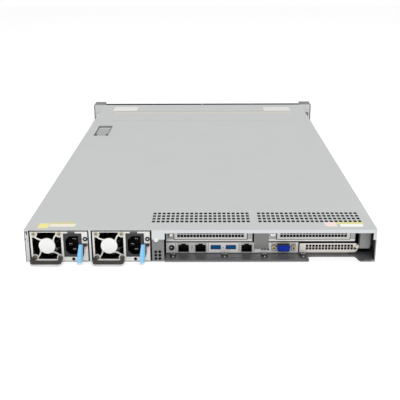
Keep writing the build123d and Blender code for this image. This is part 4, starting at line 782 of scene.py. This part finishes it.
# A fan blade: a thin lens section, cambered across its chord, whose pitch eases from hub to tip. The chord
# grows with the radius, and the blade sweeps forward with its square.
def fanBlade(hub, tip, chord, pitch, turn, centre):
    around = np.linspace(0, 2 * np.pi, blade["around"], endpoint=False)
    along = np.linspace(0, 1, blade["along"])[:, None]
    s = np.cos(around) * 0.5
    lens = blade["thin"] * np.sin(around) * (blade["full"] - abs(2 * s))
    camber = blade["camber"] * (1 - 4 * s ** 2)
    size = chord * (blade["root"] + blade["growth"] * along)
    angle = np.radians(pitch[0] + (pitch[1] - pitch[0]) * along)
    u, v = size * s, size * (camber + lens)
    axial = u * np.sin(angle) + v * np.cos(angle)
    across = u * np.cos(angle) - v * np.sin(angle)
    radius = hub + (tip - hub) * along
    swing = across / radius + turn + blade["sweep"] * along ** 2
    points = np.stack([radius * np.cos(swing), axial, radius * np.sin(swing)], -1)
    first, last = [np.repeat(row.mean(1, keepdims=True), blade["around"], 1)
                   for row in (points[:1], points[-1:])]
    return np.concatenate([first, points, last]) + np.array(centre)


bladeFinish = paint("bladeBlack", fanBlack, rough=0.28, gloss=0.6)
for supply in supplies:
    n = supply["n"]
    low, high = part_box(f"supply_rotor_{n}")
    hub = (supply["hub"][0], low.y + rotor["half"] * mm, supply["hub"][2])
    blades = [fanBlade(rotor["hub"] * rotor["root"] * mm, rotor["tip"] * mm, rotor["chord"] * mm,
                       rotor["pitch"], 2 * np.pi * k / rotor["blades"], hub) for k in range(rotor["blades"])]
    cup = turned(np.array(rotor["cup"]) * mm, hub, (0, 1, 0), rotor["steps"])
    piece = makePiece(f"supply_fan_blades_{n}", blades + [cup], bladeFinish, f"supply_rotor_{n}")
    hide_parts(f"supply_rotor_{n}")
print("fan blades made")

# A pale blank strip at the right of each supply's face.
strip = {"left": 0.6, "right": 4.4, "z": (13.6, 23.4), "corner": 0.4, "thickness": 0.12, "sink": 0.02}
stripLook = {"colour": (252, 228, 228), "deep": (238, 214, 214), "amount": 0.3, "rough": 0.5, "spread": 0.05,
             "metal": 0.0, "bump": 0.05, "stretch": (1500, 1500, 1500)}
for supply in supplies:
    n, (low, high), width = supply["n"], strip["z"], strip["right"] - strip["left"]
    place = (supply["right"] - (strip["left"] + width / 2) * mm, rear + strip["sink"] * mm,
             (low + high) / 2 * mm)
    plate = roundedPlate(width * mm, (high - low) * mm, strip["corner"] * mm, strip["thickness"] * mm,
                         place, outward)
    makePiece(f"supply_label_{n}", [plate], makeFinish(f"supplyLabel{n}", stripLook), supply["body"])
print("strips made")

# Floor and world: both are seen brighter by the camera and by glossy rays than they light the object.
stageLook = {"size": 8.0, "colour": (0.9, 0.9, 0.9, 1), "rough": 0.9, "glow": 0.30, "world": 0.70}
white = (1, 1, 1, 1)


def seenDirectly(tree):
    path = addNode(tree, "ShaderNodeLightPath").outputs
    return addMath(tree, "MAXIMUM", path["Is Camera Ray"], path["Is Glossy Ray"])


reach = stageLook["size"] / 2
floorMesh = bpy.data.meshes.new("floor")
floorMesh.from_pydata([(-reach, -reach, 0), (reach, -reach, 0), (reach, reach, 0), (-reach, reach, 0)], [],
                      [(0, 1, 2, 3)])
floor = bpy.data.objects.new("floor", floorMesh)
bpy.context.scene.collection.objects.link(floor)
floorPaint = bpy.data.materials.new("floorPaint")
floorPaint.use_nodes = True
floorTree = floorPaint.node_tree
floorShader = floorTree.nodes["Principled BSDF"].inputs
feed(floorTree, floorShader["Base Color"], stageLook["colour"])
feed(floorTree, floorShader["Roughness"], stageLook["rough"])
feed(floorTree, floorShader["Emission Color"], white)
feed(floorTree, floorShader["Emission Strength"],
     addMath(floorTree, "MULTIPLY", seenDirectly(floorTree), stageLook["glow"]))
floorMesh.materials.append(floorPaint)

world = bpy.data.worlds.new("paleStudio")
bpy.context.scene.world = world
world.use_nodes = True
worldTree = world.node_tree
background = worldTree.nodes["Background"].inputs
feed(worldTree, background["Color"], white)
feed(worldTree, background["Strength"],
     addMath(worldTree, "MULTIPLY_ADD", seenDirectly(worldTree), 1 - stageLook["world"], stageLook["world"]))

# Lamps in metres, aimed at a point on the floor a little in from the rear panel.
lamps = {
    "keyLamp": {"place": (0.25, rear - 1.5, 1.9), "size": 1.6, "power": 27},
    "topLamp": {"place": (0.2, 0.2, 2.4), "size": 2.2, "power": 2},
}
target = Vector((0, rear + 0.2, 0))
for name, lamp in lamps.items():
    light = bpy.data.lights.new(name, "AREA")
    light.size = lamp["size"]
    light.energy = lamp["power"]
    holder = bpy.data.objects.new(name, light)
    holder.location = lamp["place"]
    holder.rotation_mode = "QUATERNION"
    holder.rotation_quaternion = (target - holder.location).to_track_quat("-Z", "Y")
    bpy.context.scene.collection.objects.link(holder)

# The photo's camera: its place in millimetres, y from the rear panel, its angles in degrees, and its focal
# length and picture width in pixels.
cameraView = {"place": (6.1, -825.6, 368.4), "yaw": -0.438, "pitch": 19.134, "roll": -0.247, "focal": 720.0,
              "frame": 400.0, "sensor": 36.0, "clip": (0.01, 50)}
cameraData = bpy.data.cameras.new("photoCamera")
cameraData.sensor_width = cameraView["sensor"]
cameraData.lens = cameraView["focal"] / cameraView["frame"] * cameraView["sensor"]
cameraData.clip_start, cameraData.clip_end = cameraView["clip"]
camera = bpy.data.objects.new("photoCamera", cameraData)
bpy.context.scene.collection.objects.link(camera)
yaw, pitch, roll = np.radians([cameraView["yaw"], cameraView["pitch"], cameraView["roll"]])
look = np.array([np.sin(yaw) * np.cos(pitch), np.cos(yaw) * np.cos(pitch), -np.sin(pitch)])
level = np.array([np.cos(yaw), -np.sin(yaw), 0])
upward = np.cross(level, look)
rightward = np.cos(roll) * level + np.sin(roll) * upward
upward = np.cos(roll) * upward - np.sin(roll) * level
x, y, z = np.array(cameraView["place"]) * mm
turn = Matrix(np.stack([rightward, upward, -look], -1).tolist()).to_4x4()
camera.matrix_world = Matrix.Translation((x, rear + y, z)) @ turn
bpy.context.scene.camera = camera
bpy.context.scene.view_settings.view_transform = "Standard"
print("floor, light and camera set")
